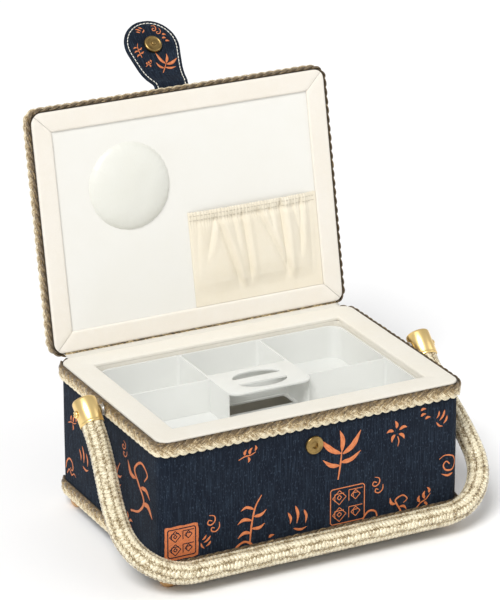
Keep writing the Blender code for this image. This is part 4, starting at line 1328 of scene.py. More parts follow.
def panelHeight(x, v):
    # satin stretched over card, with long soft ripples
    edge = min(1.0, (lidHalf - 0.015 - abs(x)) / 0.01, (v - 0.016) / 0.01, (lidFar - 0.0165 - v) / 0.01)
    ripple = noise.noise(Vector((x * 18 + v * 7, v * 9, 2.2))) + 0.4 * noise.noise(Vector((x * 50, v * 20,
            8)))
    return panelSheet["n"] - panelSheet["wave"] * max(0.0, edge) * (0.5 + 0.5 * ripple)


def addPanel():
    columns, rowsCount = 60, 46
    inset = 0.0011
    x0, x1 = -lidHalf + inset, lidHalf - inset
    v0, v1 = lidNear + inset, lidFar - inset
    rows = []
    for i in range(rowsCount + 1):
        v = v0 + (v1 - v0) * i / rowsCount
        cut = 0.0
        r = lidSize["corner"]
        near = min(v - v0, v1 - v)
        if near < r:
            cut = r - math.sqrt(r * r - (r - near) ** 2)
        row = [(x0 + cut + (x1 - x0 - 2 * cut) * j / columns, v) for j in range(columns + 1)]
        rows.append(row)
    front = [[lidPoint(x, v, panelHeight(x, v)) for x, v in row] for row in rows]
    back = [[lidPoint(x, v, panelSheet["n"] + panelSheet["thick"]) for x, v in row] for row in reversed(rows)]
    both = front + back
    flat = rows + list(reversed(rows))
    mesh = gridMesh("lining_satin", both, paint["satin"], lambda i, j: flat[i % len(flat)][j], loopRows=True)
    closeHoles(mesh)
    piece = addPiece("lining_satin", mesh, "lid", ["lining_panel"], smooth=60)


addLidCover()
addLidPrint()
addLidFrame()
addPanel()
print("lid ready")

# pincushion: satin stuffed by cloth simulation
cushion = {"radius": 0.0365, "height": 0.0084, "rings": 22, "sides": 96, "pressure": 4.0, "frames": 20,
           "cap": 0.0022, "keep": 0.45, "pleat": 0.0006}


def swellByCloth(mesh, pinned, frames, pressure, cap):
    # Blender's cloth with inner pressure; the rim is held, and no point may travel further than the cap
    item = bpy.data.objects.new("swelling", mesh)
    scene.collection.objects.link(item)
    group = item.vertex_groups.new(name="held")
    group.add(pinned, 1.0, "REPLACE")
    before = [v.co.copy() for v in mesh.vertices]
    cloth = item.modifiers.new("cloth", "CLOTH")
    cloth.settings.use_pressure = True
    cloth.settings.uniform_pressure_force = pressure
    cloth.settings.vertex_group_mass = "held"
    cloth.settings.effector_weights.gravity = 0.0
    cloth.settings.quality = 5
    for frameNumber in range(1, frames + 1):
        scene.frame_set(frameNumber)
    done = item.evaluated_get(bpy.context.evaluated_depsgraph_get()).to_mesh()
    after = [v.co.copy() for v in done.vertices]
    bpy.data.objects.remove(item, do_unlink=True)
    scene.frame_set(1)
    for v, old, new in zip(mesh.vertices, before, after):
        step = new - old
        if step.length > cap:
            step *= cap / step.length
        v.co = old + step


def addPincushion():
    low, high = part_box("pincushion")
    centreX = (low.x + high.x) / 2
    toMiddle = (low + high) / 2 - hinge
    centreV = toMiddle.dot(lidUp)
    base = 0.0022
    rings, sides = cushion["rings"], cushion["sides"]
    size = cushion["radius"]
    rng = random.Random(5)
    pleats = [0.0]
    while pleats[-1] < 2 * math.pi - 0.10:
        pleats.append(pleats[-1] + rng.uniform(0.085, 0.20))
    pleats = [a * 2 * math.pi / pleats[-1] for a in pleats]

    def pleat(angle):
        # one soft fold between each pair of pleats
        for a, b in zip(pleats, pleats[1:]):
            if a <= angle <= b:
                return math.sin(math.pi * (angle - a) / (b - a))
        return 0.0

    rows = []
    for k in range(1, rings + 1):
        part = k / rings
        row = []
        for j in range(sides):
            a = 2 * math.pi * j / sides
            lift = cushion["height"] * max(0.0, 1 - part ** 2.3) ** 0.62
            row.append(Vector((size * part * math.cos(a), size * part * math.sin(a), lift)))
        rows.append(row)
    flat = [[(p.x, p.y) for p in row] for row in rows]
    mesh = gridMesh("pincushion_satin", rows, paint["cushion"], lambda i, j: flat[i][j % sides],
                    loopCols=True)
    bm = bmesh.new()
    bm.from_mesh(mesh)
    inner = [v for v in bm.verts if v.co.xy.length < size / rings * 1.01]
    inner.sort(key=lambda v: math.atan2(v.co.y, v.co.x))
    pole = bm.verts.new((0, 0, cushion["height"]))
    layer = bm.loops.layers.uv.active
    for a, b in zip(inner, inner[1:] + inner[:1]):
        face = bm.faces.new((a, b, pole))
        for loop in face.loops:
            loop[layer].uv = loop.vert.co.xy
    edge = [v for v in bm.verts if v.co.xy.length > size * 0.999]
    edge.sort(key=lambda v: math.atan2(v.co.y, v.co.x))
    bottom = [bm.verts.new((v.co.x * 0.93, v.co.y * 0.93, -0.0008)) for v in edge]
    for k in range(len(edge)):
        m = (k + 1) % len(edge)
        bm.faces.new((edge[k], edge[m], bottom[m], bottom[k]))
    bm.faces.new(bottom)
    bmesh.ops.recalc_face_normals(bm, faces=bm.faces)
    bm.to_mesh(mesh)
    bm.free()
    held = [v.index for v in mesh.vertices if v.co.xy.length > size * 0.90 or v.co.z < 0.0]
    swellByCloth(mesh, held, cushion["frames"], cushion["pressure"], cushion["cap"])
    # the gathers at its edge, made after the swelling
    for v in mesh.vertices:
        if v.co.z < -0.0004:
            continue
        angle = math.atan2(v.co.y, v.co.x) % (2 * math.pi)
        fold = pleat(angle)
        part = v.co.xy.length / size
        near = max(0.0, (part - 0.42) / 0.58) ** 1.5
        v.co.z += (fold - 0.55) * cushion["pleat"] * near * (1.0 if part < 0.99 else 0.4)
        v.co.z += 0.0004 * noise.noise(Vector((v.co.x * 70, v.co.y * 70, 4))) * (1 - near)
        v.co.xy *= 1.0 + (fold - 0.5) * 0.010 * near
    mesh.transform(lidMatrix(centreV, base) @ Matrix.Translation((centreX, 0, 0)))
    piece = addPiece("pincushion_satin", mesh, "lid", ["pincushion"], smooth=80)
    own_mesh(piece)


addPincushion()
print("pincushion ready")

# gathered pocket with an elastic header
pocket = {"x0": -0.003, "v0": 0.0178, "v1": 0.0970, "header": 0.0080, "thick": 0.0006, "bulge": 0.0042,
          "ruffles": 45, "columns": 180, "rows": 60}
# creases as (place at its top, at its foot, height of top, height of foot, depth, width), in shares and mm
creases = [(0.06, 0.03, 0.88, 0.30, 0.8, 2.0), (0.19, 0.11, 0.90, 0.48, 1.5, 2.4),
           (0.22, 0.37, 0.88, 0.06, 2.4, 2.6), (0.33, 0.36, 0.90, 0.55, 1.1, 1.8),
           (0.41, 0.44, 0.90, 0.16, 2.0, 2.4), (0.53, 0.72, 0.90, 0.24, 2.2, 3.0),
           (0.62, 0.64, 0.92, 0.62, 1.2, 1.8), (0.71, 0.735, 0.95, 0.04, 3.0, 2.8),
           (0.80, 0.86, 0.92, 0.50, 1.3, 2.0), (0.87, 0.84, 0.94, 0.34, 1.9, 2.2), (0.945, 0.93, 0.92, 0.20,
        1.3, 2.0)]


def easeStep(t):
    t = max(0.0, min(1.0, t))
    return t * t * (3 - 2 * t)


def addPocket():
    x0, x1 = pocket["x0"], lidHalf - frameStrip["wide"] - 0.0003
    v0, v1 = pocket["v0"], pocket["v1"] + 0.0012
    wide = (x1 - x0) * 1000
    columns, count = pocket["columns"], pocket["rows"]
    face = 0.0020
    headerLine = pocket["v1"] - pocket["header"]

    def creased(a, b):
        # a crease is sharp on one side and rolls up softly on the other
        h = 0.0
        for top, foot, high, low, deep, spread in creases:
            if not low - 0.06 < b < high + 0.06:
                continue
            centre = foot + (top - foot) * (b - low) / (high - low)
            fade = easeStep((b - low + 0.06) / 0.22) * easeStep((high + 0.06 - b) / 0.10)
            d = (a - centre) * wide
            h -= deep * 0.0013 * fade * math.exp(-abs(d) / spread)
            h += deep * 0.0007 * fade * math.exp(-((d - spread * 1.7) / (spread * 1.3)) ** 2)
        return h

    def height(a, b, x, v):
        sides = min(1.0, math.sin(math.pi * max(0.0, min(1.0, a))) ** 0.5 * 1.15)
        foot = min(1.0, b / 0.34) ** 0.8
        overRim = min(1.0, max(0.0, (v - 0.026) / 0.010))
        overSide = min(1.0, max(0.0, (0.1135 - x) / 0.008)) if x > 0.09 else 1.0
        room = 0.22 + 0.78 * overRim * overSide
        swell = pocket["bulge"] * sides * foot * (0.80 + 0.20 * math.sin(math.pi * b))
        swell *= 1 - 0.40 * math.exp(-((v - headerLine) / 0.0030) ** 2)
        ruffle = abs(math.sin(math.pi * (a * pocket["ruffles"] + 0.35 * math.sin(a * 40)))) ** 1.3
        ruffle *= 0.00075 if v > headerLine else 0.0008 * math.exp((v - headerLine) / 0.0045)
        drag = 0.0006 * noise.noise(Vector((x * 24 - v * 22, v * 26 + x * 8, 3.3))) * foot
        return max(0.0006, (swell + creased(a, b) * sides + drag + ruffle) * room + 0.0004)

    fronts, backs, flat = [], [], []
    for i in range(count + 1):
        b = i / count
        v = v0 + (v1 - v0) * b
        rowFront, rowBack, mark = [], [], []
        for j in range(columns + 1):
            a = j / columns
            x = x0 + (x1 - x0) * a
            h = height(a, b, x, v)
            topWave = 0.0004 * math.sin(2 * math.pi * a * pocket["ruffles"]) * max(0.0, (b - 0.92) / 0.08)
            rowFront.append(lidPoint(x, v + topWave, face - h))
            rowBack.append(lidPoint(x, v + topWave, face - h + pocket["thick"]))
            mark.append((x * 1.25, v))
        fronts.append(rowFront)
        backs.append(rowBack)
        flat.append(mark)
    both = fronts + list(reversed(backs))
    marks = flat + list(reversed(flat))
    mesh = gridMesh("gathered_pocket", both, paint["pocket"], lambda i, j: marks[i % len(marks)][j],
                    loopRows=True)
    closeSides(mesh, count + 1, columns)
    piece = addPiece("gathered_pocket", mesh, "lid", ["pocket_cloth", "pocket_elastic"],
                     smooth=80)
    # two rows of stitching hold the elastic inside the header
    thread = bmesh.new()
    for line in (pocket["v1"] - pocket["header"] + 0.0022, pocket["v1"] - pocket["header"] + 0.0060):
        a = 0.012
        while a < 0.985:
            b = (line - v0) / (v1 - v0)
            x = x0 + (x1 - x0) * a
            span = 0.0011 / (x1 - x0)
            ends = []
            for part, rise in ((-1, 0.0001), (-0.4, 0.00042), (0.4, 0.00042), (1, 0.0001)):
                aa = a + span * part
                xx = x0 + (x1 - x0) * aa
                ends.append(lidPoint(xx, line, face - height(aa, b, xx, line) - rise))
            rings = []
            for p in ends:
                rings.append([thread.verts.new(p + lidUp * (0.00022 * math.cos(q))
                        + lidOut * (0.00022 * math.sin(q))) for q in (0.0, 1.57, 3.14, 4.71)])
            for low, high in zip(rings, rings[1:]):
                for k in range(4):
                    thread.faces.new((low[k], low[(k + 1) % 4], high[(k + 1) % 4], high[k]))
            thread.faces.new(rings[0])
            thread.faces.new(rings[-1])
            a += span * 2 + 0.0011 / (x1 - x0)
    mesh = meshFrom(thread, "header_stitches", paint["thread"])
    addPiece("header_stitches", mesh, "lid", smooth=60)


addPocket()
print("pocket ready")

# cloth hinge between the body and the lid
def addHingeCloth():
    low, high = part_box("hinge_cloth")
    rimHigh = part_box("rim_pad")[1]
    half = (high.x - low.x) / 2
    start = Vector((0, rimHigh.y - 0.0006, rimHigh.z - 0.0009))
    route = [start, Vector((0, low.y + 0.0012, high.z + 0.0002)),
             Vector((0, high.y - 0.0012, high.z + 0.0003)), hinge + Vector((0, -0.0001, 0.0001)),
             lidPoint(0, 0.0006, 0.0016), lidPoint(0, 0.0016, 0.0020)]
    path = smoothPath(route, 0.0006)
    columns = 90
    thick = 0.0005
    rows, flat = [], []
    for side in (0, 1):
        line = path if side == 0 else list(reversed(path))
        for i, p in enumerate(line):
            row = []
            way = wayAt(line, i)
            normal = Vector((0, -way.z, way.y)) * (1 if side == 0 else -1)
            for j in range(columns + 1):
                x = -half + 2 * half * j / columns
                wave = 0.00012 * noise.noise(Vector((x * 160, i * 0.2, 1)))
                row.append(Vector((x, p.y, p.z)) + normal * (thick * 0.5 * (1 if side == 0 else -1) + wave))
            rows.append(row)
            share = (i if side == 0 else len(line) - 1 - i) / (len(line) - 1)     # from the body to the lid
            flat.append([(-half + 2 * half * j / columns, share) for j in range(columns + 1)])
    mesh = gridMesh("hinge_strip", rows, paint["hingeTape"], lambda i, j: flat[i % len(flat)][j],
                    loopRows=True)
    closeSides(mesh, len(path), columns)
    piece = bpy.data.objects.new("hinge_strip", mesh)
    scene.collection.objects.link(piece)
    mesh.shade_smooth()
    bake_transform(piece)
    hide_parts("hinge_cloth")


addHingeCloth()
print("hinge ready")

# tab with its stitching
tab = {"thick": 0.0022, "baseHalf": 0.0155, "endRadius": 0.0245, "stud": 0.0443, "curl": 28.0,
       "anchor": 0.0105, "bend": 0.004, "stitchIn": 0.0030, "groove": 0.00030, "split": 0.0095}
fold = Vector(joints["tab_fold"]["pos_m"])
flex = Vector(joints["tab_flex"]["pos_m"])
rootWay = (flex - fold).normalized()
tipWay = Matrix.Rotation(math.radians(tab["curl"]), 3, "X") @ rootWay
rootLength = (flex - fold).length


def tabLine():
    # the middle line of the tab from its glued end to its tip, as (running length from the fold, point)
    route = [fold - lidUp * tab["anchor"] + lidOut * 0.0006, fold - lidUp * 0.006 + lidOut * 0.0006,
             fold - lidUp * 0.0022 + lidOut * 0.0003, fold + rootWay * 0.0022, fold + rootWay * 0.007,
             fold + rootWay * (rootLength - 0.005), flex + tipWay * 0.005,
             flex + tipWay * (tab["stud"] - rootLength), flex + tipWay * (tab["stud"] - rootLength + 0.012),
             flex + tipWay * (tab["stud"] - rootLength + tab["endRadius"])]
    return smoothPath(route, 0.0008)


tabPath = tabLine()
tabRun = [0.0]
for a, b in zip(tabPath, tabPath[1:]):
    tabRun.append(tabRun[-1] + (b - a).length)
foldRun = tabRun[min(range(len(tabPath)), key=lambda k: (tabPath[k] - fold).length)]
tabRun = [s - foldRun for s in tabRun]
tabEnd = tabRun[-1]


def tabSpot(s):
    s = max(tabRun[0], min(tabEnd, s))
    for k in range(len(tabRun) - 1):
        if s <= tabRun[k + 1]:
            part = (s - tabRun[k]) / max(1e-9, tabRun[k + 1] - tabRun[k])
            ahead, behind = tabPath[min(k + 2, len(tabPath) - 1)], tabPath[max(k - 1, 0)]
            way = (ahead - behind).normalized()
            return tabPath[k].lerp(tabPath[k + 1], part), way
    return tabPath[-1], tipWay


def tabHalf(s):
    # straight sides that touch the round end
    centre = tabEnd - tab["endRadius"]
    span = math.hypot(tab["baseHalf"], centre)
    lean = math.asin(tab["endRadius"] / span) - math.atan2(tab["baseHalf"], centre)
    touchX = tab["endRadius"] * math.cos(lean)
    touchS = centre - tab["endRadius"] * math.sin(lean)
    if s <= 0:
        return tab["baseHalf"]
    if s < touchS:
        return tab["baseHalf"] + (touchX - tab["baseHalf"]) * s / touchS
    return math.sqrt(max(0.0, tab["endRadius"] ** 2 - (s - centre) ** 2))


def tabInset(x, s):
    # how far a point is from the tab's edge
    centre = tabEnd - tab["endRadius"]
    side = tabHalf(min(s, centre)) - abs(x)
    if s > centre:
        return tab["endRadius"] - math.hypot(x, s - centre)
    return max(0.0, side)


def tabThick(x, s):
    inset = max(0.0, tabInset(x, s))
    edge = 0.0013
    half = tab["thick"] / 2 * math.sqrt(max(0.0, 1 - (1 - min(1.0, inset / edge)) ** 2))
    half -= tab["groove"] * math.exp(-((inset - tab["stitchIn"]) / 0.0006) ** 2)
    half += 0.00012 * noise.noise(Vector((x * 70, s * 70, 6)))
    return max(0.00002, half) if inset > 0.00002 else 0.0


def onTab(x, s, lift):
    # the viewer's side of the tab when the lid is open
    spot, way = tabSpot(s)
    normal = Vector((0, -way.z, way.y))
    return spot + Vector((x, 0, 0)) + normal * (tabThick(x, s) + lift)


def addTabLength(name, s0, s1, bodies, stands, spacing):
    columns = 34
    stops = []
    s = s0
    while s < s1 - spacing * 0.4:
        stops.append(s)
        left = tabEnd - s
        s += spacing if left > 0.006 else max(0.00018, spacing * left / 0.006)
    stops.append(s1)
    faces, backs, flat = [], [], []
    for s in stops:
        spot, way = tabSpot(s)
        normal = Vector((0, -way.z, way.y))
        half = tabHalf(s)
        front, back, mark = [], [], []
        for j in range(columns + 1):
            part = math.sin(math.pi / 2 * (-1 + 2 * j / columns))
            x = half * part
            thick = tabThick(x, s) if abs(part) < 0.99999 else 0.0
            front.append(spot + Vector((x, 0, 0)) + normal * thick)
            back.append(spot + Vector((x, 0, 0)) - normal * thick)
            mark.append((x, s))
        faces.append(front)
        backs.append(back)
        flat.append(mark)
    bm = bmesh.new()
    layer = bm.loops.layers.uv.new("UVMap")
    grids = []
    for grid in (faces, backs):
        grids.append([[bm.verts.new(p) for p in row] for row in grid])
    for grid, flip in ((grids[0], False), (grids[1], True)):
        for i in range(len(stops) - 1):
            for j in range(columns):
                cell = [(i, j), (i, j + 1), (i + 1, j + 1), (i + 1, j)]
                if flip:
                    cell.reverse()
                face = bm.faces.new([grid[a][b] for a, b in cell])
                for loop, (a, b) in zip(face.loops, cell):
                    loop[layer].uv = flat[a][b]
    ends = [0] if s1 >= tabEnd - 1e-6 else [0, len(stops) - 1]
    for i in ends:
        for j in range(columns):
            bm.faces.new((grids[0][i][j], grids[1][i][j], grids[1][i][j + 1], grids[0][i][j + 1]))
    bmesh.ops.remove_doubles(bm, verts=bm.verts, dist=2e-5)
    bmesh.ops.dissolve_degenerate(bm, edges=bm.edges, dist=1e-6)
    mesh = meshFrom(bm, name, paint["lidDenim"])
    piece = bpy.data.objects.new(name, mesh)
    scene.collection.objects.link(piece)
    mesh.shade_smooth()
    bendPiece(piece, bodies)
    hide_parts(*stands)
    return piece


def bendPiece(piece, bodies):
    if bodies == "fold":
        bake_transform(piece)
    else:
        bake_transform(piece)


def makeStitchTree():
    tree, get, end = addGroup("stitch line", "GeometryNodeTree", {"Geometry": "Geometry", "Pitch": 0.0032,
            "Stitch Length": 0.0022, "Thread Radius": 0.00035, "Material": "Material"},
            {"Geometry": "Geometry"})
    curve = put(tree, "GeometryNodeMeshToCurve", {"Mesh": get["Geometry"]})
    even = put(tree, "GeometryNodeResampleCurve", {"Curve": curve.outputs["Curve"], "Length": get["Pitch"]},
               mode="LENGTH")
    thread = put(tree, "GeometryNodeCurvePrimitiveBezierSegment", {"Resolution": 6}, mode="POSITION")
    half = mul(get["Stitch Length"], 0.5)
    for socket, sign in (("Start", -1.0), ("End", 1.0)):
        spot = put(tree, "ShaderNodeCombineXYZ")
        feed(spot.inputs["X"], mul(half, sign))
        spot.inputs["Z"].default_value = -0.0002
        feed(thread.inputs[socket], spot.outputs[0])
    for socket, sign in (("Start Handle", -0.5), ("End Handle", 0.5)):
        spot = put(tree, "ShaderNodeCombineXYZ")
        feed(spot.inputs["X"], mul(half, sign))
        spot.inputs["Z"].default_value = 0.0004
        feed(thread.inputs[socket], spot.outputs[0])
    profile = put(tree, "GeometryNodeCurvePrimitiveCircle", {"Resolution": 6, "Radius": get["Thread Radius"]},
                  mode="RADIUS")
    tube = put(tree, "GeometryNodeCurveToMesh", {"Curve": thread.outputs["Curve"],
            "Profile Curve": profile.outputs["Curve"], "Fill Caps": True})
    turn = put(tree, "FunctionNodeAlignRotationToVector",
               {"Vector": put(tree, "GeometryNodeInputTangent").outputs[0]}, axis="X")
    upright = put(tree, "FunctionNodeAlignRotationToVector", {"Rotation": turn.outputs[0],
            "Vector": readValue(tree, "facing", "FLOAT_VECTOR")}, axis="Z", pivot_axis="X")
    copies = put(tree, "GeometryNodeInstanceOnPoints", {"Points": even.outputs["Curve"],
            "Instance": tube.outputs["Mesh"], "Rotation": upright.outputs[0]})
    whole = put(tree, "GeometryNodeRealizeInstances", {"Geometry": copies.outputs["Instances"]})
    shaded = storeValue(whole.outputs["Geometry"], "shade", 0.8)
    finishTree(end, shaded, get["Material"])
    return tree


stitchTree = makeStitchTree()


def pathMesh(name, points, normals):
    # an open line of edges, with the direction that each point faces
    mesh = bpy.data.meshes.new(name)
    mesh.from_pydata([tuple(p) for p in points], [(k, k + 1) for k in range(len(points) - 1)], [])
    facing = mesh.attributes.new("facing", "FLOAT_VECTOR", "POINT")
    for k, normal in enumerate(normals):
        facing.data[k].vector = normal
    return mesh


def addTabStitches():
    # a line of stitches on both faces, in two lengths split where the tab's base and flap meet
    centre = tabEnd - tab["endRadius"]
    inset = tab["stitchIn"]
    line = []
    s = -tab["anchor"] + 0.002
    while s < centre:
        line.append((tabHalf(s) - inset, s))
        s += 0.001
    turns = 36
    for k in range(turns + 1):
        a = math.radians(90 * k / turns)
        line.append(((tab["endRadius"] - inset) * math.cos(a), centre
                     + (tab["endRadius"] - inset) * math.sin(a)))
    outline = line + [(-x, s) for x, s in reversed(line[:-1])]
    for label, face in (("inner", 1), ("outer", -1)):
        for part, keep in (("fold", lambda s: s <= tab["split"]), ("flex", lambda s: s >= tab["split"])):
            runs = [[]]
            for x, s in outline:
                if keep(s):
                    runs[-1].append((x, s))
                elif runs[-1]:
                    runs.append([])
            meshes = []
            for run in runs:
                if len(run) < 4:
                    continue
                spots, normals = [], []
                for x, s in run:
                    spot, way = tabSpot(s)
                    normal = Vector((0, -way.z, way.y)) * face
                    spots.append(spot + Vector((x, 0, 0)) + normal * (tabThick(x, s) + 0.0002))
                    normals.append(normal)
                meshes.append(growMesh("stitches", stitchTree, {"Material": paint["thread"]},
                                       pathMesh("stitch path", spots, normals)))
            bm = bmesh.new()
            for mesh in meshes:
                bm.from_mesh(mesh)
            whole = bpy.data.meshes.new("tab_stitches_%s_%s" % (part, label))
            bm.to_mesh(whole)
            bm.free()
            whole.materials.append(paint["thread"])
            piece = bpy.data.objects.new(whole.name, whole)
            scene.collection.objects.link(piece)
            bendPiece(piece, part)


def addTab():
    base = addTabLength("tab_base", -tab["anchor"], tab["split"], "fold", ["tab_anchor", "tab_root"], 0.0012)
    tip = addTabLength("tab_flap", tab["split"], tabEnd, "flex", ["tab_tip"], 0.0014)
    addTabStitches()
    bm = bmesh.new()
    layer = bm.loops.layers.uv.new("UVMap")
    for name, x, s, size, turn in [("leaves", 5.5, 24, 21, -20), ("fern", -14, 40, 13, 20),
            ("pebbles", 13.5, 49, 10, 0), ("eddies", 8, 57.5, 11, 30), ("rain", -6, 59, 8, 60),
            ("buds", -9.5, 27, 8, 0)]:
        addMotif(bm, layer, name, (x * 0.001, s * 0.001), size * 0.001, turn, onTab, 0.9)
    mesh = meshFrom(bm, "tab_print", paint["ink"])
    mesh.shade_smooth()
    piece = bpy.data.objects.new("tab_print", mesh)
    scene.collection.objects.link(piece)
    bendPiece(piece, "flex")


addTab()
print("tab ready")


# snap: socket on the front, stud on the tab
def addSnap():
    low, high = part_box("snap_socket")
    spot = Vector((0, clothLow.y, (low.z + high.z) / 2))
    r = (high.x - low.x) / 2
    face = spot.y - low.y
    ring = [(0.0024, -0.0076), (0.0024, 0.0003), (r - 0.0005, 0.0003), (r, 0.0007), (r, face - 0.0012),
            (r - 0.0002, face - 0.0006), (r - 0.0006, face - 0.0002), (r - 0.0011, face - 0.0001),
            (r - 0.0015, face - 0.0003), (r - 0.0019, face - 0.0005), (0.0042, face - 0.0004),
            (0.0036, face - 0.0002), (0.0031, face), (0.0027, face - 0.0002), (0.0025, face - 0.0007),
            (0.0024, face - 0.0019)]
    mesh = turnedMesh("snap_ring", ring, spot, (0, -1, 0), paint["brass"], 64)
    addPiece("snap_ring", mesh, "body", ["snap_socket"])
    normal = Vector((0, -tipWay.z, tipWay.y))
    spot = flex + tipWay * (tab["stud"] - rootLength)
    r = 0.00775
    base = tab["thick"] / 2 + 0.0002
    stud = [(r - 0.0010, base), (r - 0.0003, base + 0.0003), (r, base + 0.0008), (r, base + 0.0022),
            (r - 0.0002, base + 0.0028), (r - 0.0007, base + 0.0033), (r - 0.0014, base + 0.0034),
            (r - 0.0018, base + 0.0031), (0.0036, base + 0.0031), (0.0028, base + 0.0034),
            (0.0021, base + 0.0035), (0.0020, base + 0.0041), (0.0017, base + 0.0045),
            (0.0011, base + 0.0047)]
    mesh = turnedMesh("snap_cap", stud, spot, normal, paint["brass"], 64)
    addPiece("snap_cap", mesh, "tab_tip", ["snap_stud"])


# handle: braided cord by geometry nodes, gold ferrules and screws
handle = {"half": 0.1526, "bulge": 0.1610, "long": 0.1495, "bend": 0.048, "straight": 0.014, "first": 0.0034,
          "radius": 0.0079, "weaveDepth": 0.00068, "carriers": 16, "turn": 0.0265, "steps": 26,
          "strandWide": 0.00178, "strandThick": 0.00078, "ferrule": 0.0100, "ferruleHalf": 0.0114}
pivot = Vector(joints["handle_swing"]["pos_m"])
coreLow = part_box("handle_core")[0]
coreR = 0.0050
barMiddle = Vector((0, coreLow.y + coreR, coreLow.z + coreR))
armWay = (barMiddle - pivot).normalized()
armNormal = Vector((0, -armWay.z, armWay.y)) * -1


def handlePath():
    # right half: a short straight, a slow bow outwards, a round bend, then the level bar
    bendStart = handle["long"] - handle["bend"]
    half = [(handle["half"], handle["first"])]
    steps = 24
    for i in range(steps + 1):
        s = handle["straight"] + (bendStart - handle["straight"]) * i / steps
        ease = math.sin(0.5 * math.pi * i / steps) ** 2
        half.append((handle["half"] + (handle["bulge"] - handle["half"]) * ease, s))
    for i in range(1, 25):
        a = math.radians(90 * i / 24)
        half.append((handle["bulge"] - handle["bend"] * (1 - math.cos(a)), bendStart
                     + handle["bend"] * math.sin(a)))
    inner = handle["bulge"] - handle["bend"]
    half += [(inner * (1 - k / 12), handle["long"]) for k in range(1, 12)]
    both = half + [(0.0, handle["long"])] + [(-x, s) for x, s in reversed(half)]
    return [pivot + Vector((x, 0, 0)) + armWay * s for x, s in both]


def makeBraidTree():
    tree, get, end = addGroup("round braid", "GeometryNodeTree", {"Geometry": "Geometry", "Turns": 22.0,
            "Points": 560, "Carriers": 16, "Radius": 0.0079, "Depth": 0.0006, "Plane Normal": (0, 0, 1),
            "Strand Wide": 0.002, "Strand Thick": 0.0007, "Length": 0.58, "Material": "Material"},
            {"Geometry": "Geometry"})
    curve = put(tree, "GeometryNodeMeshToCurve", {"Mesh": get["Geometry"]})
    even = put(tree, "GeometryNodeResampleCurve", {"Curve": curve.outputs["Curve"], "Count": get["Points"]},
               mode="COUNT")
    line = storeValue(even.outputs["Curve"], "way", put(tree, "GeometryNodeInputTangent").outputs[0],
                      "FLOAT_VECTOR")
    copies = put(tree, "GeometryNodeDuplicateElements", {"Geometry": line, "Amount": get["Carriers"]},
                 domain="SPLINE")
    number = copies.outputs["Duplicate Index"]
    halfCount = div(get["Carriers"], 2.0)
    second = calc("GREATER_THAN", add(number, 0.5), halfCount)
    side = sub(1.0, mul(second, 2.0))
    placeNumber = sub(number, mul(second, halfCount))
    part = put(tree, "GeometryNodeSplineParameter").outputs["Factor"]
    swept = mul(mul(part, get["Turns"]), 2 * math.pi)
    angle = add(mul(swept, side), mul(div(placeNumber, halfCount), 2 * math.pi))
    # each strand goes over two and under two, so the floats stand in columns along the cord
    weave = calc("COSINE", sub(mul(angle, div(get["Carriers"], 4.0)), math.pi / 4))
    over = mul(weave, side)
    reach = add(get["Radius"], mul(get["Depth"], over))
    way = readValue(tree, "way", "FLOAT_VECTOR")
    binormal = vecCalc("CROSS_PRODUCT", way, get["Plane Normal"])
    radial = vecCalc("ADD", vecCalc("SCALE", get["Plane Normal"], calc("COSINE", angle)),
                     vecCalc("SCALE", binormal, calc("SINE", angle)))
    kept = storeValue(copies.outputs["Geometry"], "radial", radial, "FLOAT_VECTOR")
    fleck = put(tree, "FunctionNodeRandomValue", {"ID": number, 2: -0.12, 3: 0.12}, data_type="FLOAT")
    tuft = put(tree, "ShaderNodeTexNoise", {"Scale": 260.0, "W": number}, noise_dimensions="4D")
    # painted shade: lengths that dive under are darker and lengths that float over are lighter, with a random
    # tone per strand and noise on top
    shade = add(calc("MULTIPLY_ADD", over, 0.46, 0.40),
                add(fleck.outputs[1], mul(sub(tuft.outputs["Fac"], 0.5), 0.5)))
    shaded = storeValue(kept, "shade", shade)
    measured = storeValue(shaded, "along", mul(part, get["Length"]))
    moved = put(tree, "GeometryNodeSetPosition",
                {"Geometry": measured, "Offset": vecCalc("SCALE", readValue(tree, "radial", "FLOAT_VECTOR"),
            reach)})
    # the strands are narrower where they dive under
    grow = put(tree, "GeometryNodeSetCurveRadius", {"Curve": moved.outputs["Geometry"],
            "Radius": calc("MULTIPLY_ADD", readValue(tree, "shade"), 0.25, 0.86)})
    faceOut = put(tree, "GeometryNodeSetCurveNormal", {"Curve": grow.outputs["Curve"],
            "Normal": readValue(tree, "radial", "FLOAT_VECTOR")}, mode="FREE")
    profile = put(tree, "GeometryNodeCurvePrimitiveCircle", {"Resolution": 6, "Radius": 1.0}, mode="RADIUS")
    squash = put(tree, "GeometryNodeTransform", {"Geometry": profile.outputs["Curve"]})
    size = put(tree, "ShaderNodeCombineXYZ", {"X": get["Strand Thick"], "Y": get["Strand Wide"], "Z": 1.0})
    feed(squash.inputs["Scale"], size.outputs[0])
    about = storeValue(squash.outputs["Geometry"], "round",
                       put(tree, "GeometryNodeSplineParameter").outputs["Factor"])
    tube = put(tree, "GeometryNodeCurveToMesh", {"Curve": faceOut.outputs["Curve"], "Profile Curve": about})
    if "Scale" in tube.inputs:
        feed(tube.inputs["Scale"], put(tree, "GeometryNodeInputRadius").outputs[0])
    tube.inputs["Fill Caps"].default_value = True
    finishTree(end, tube.outputs["Mesh"], get["Material"])
    return tree


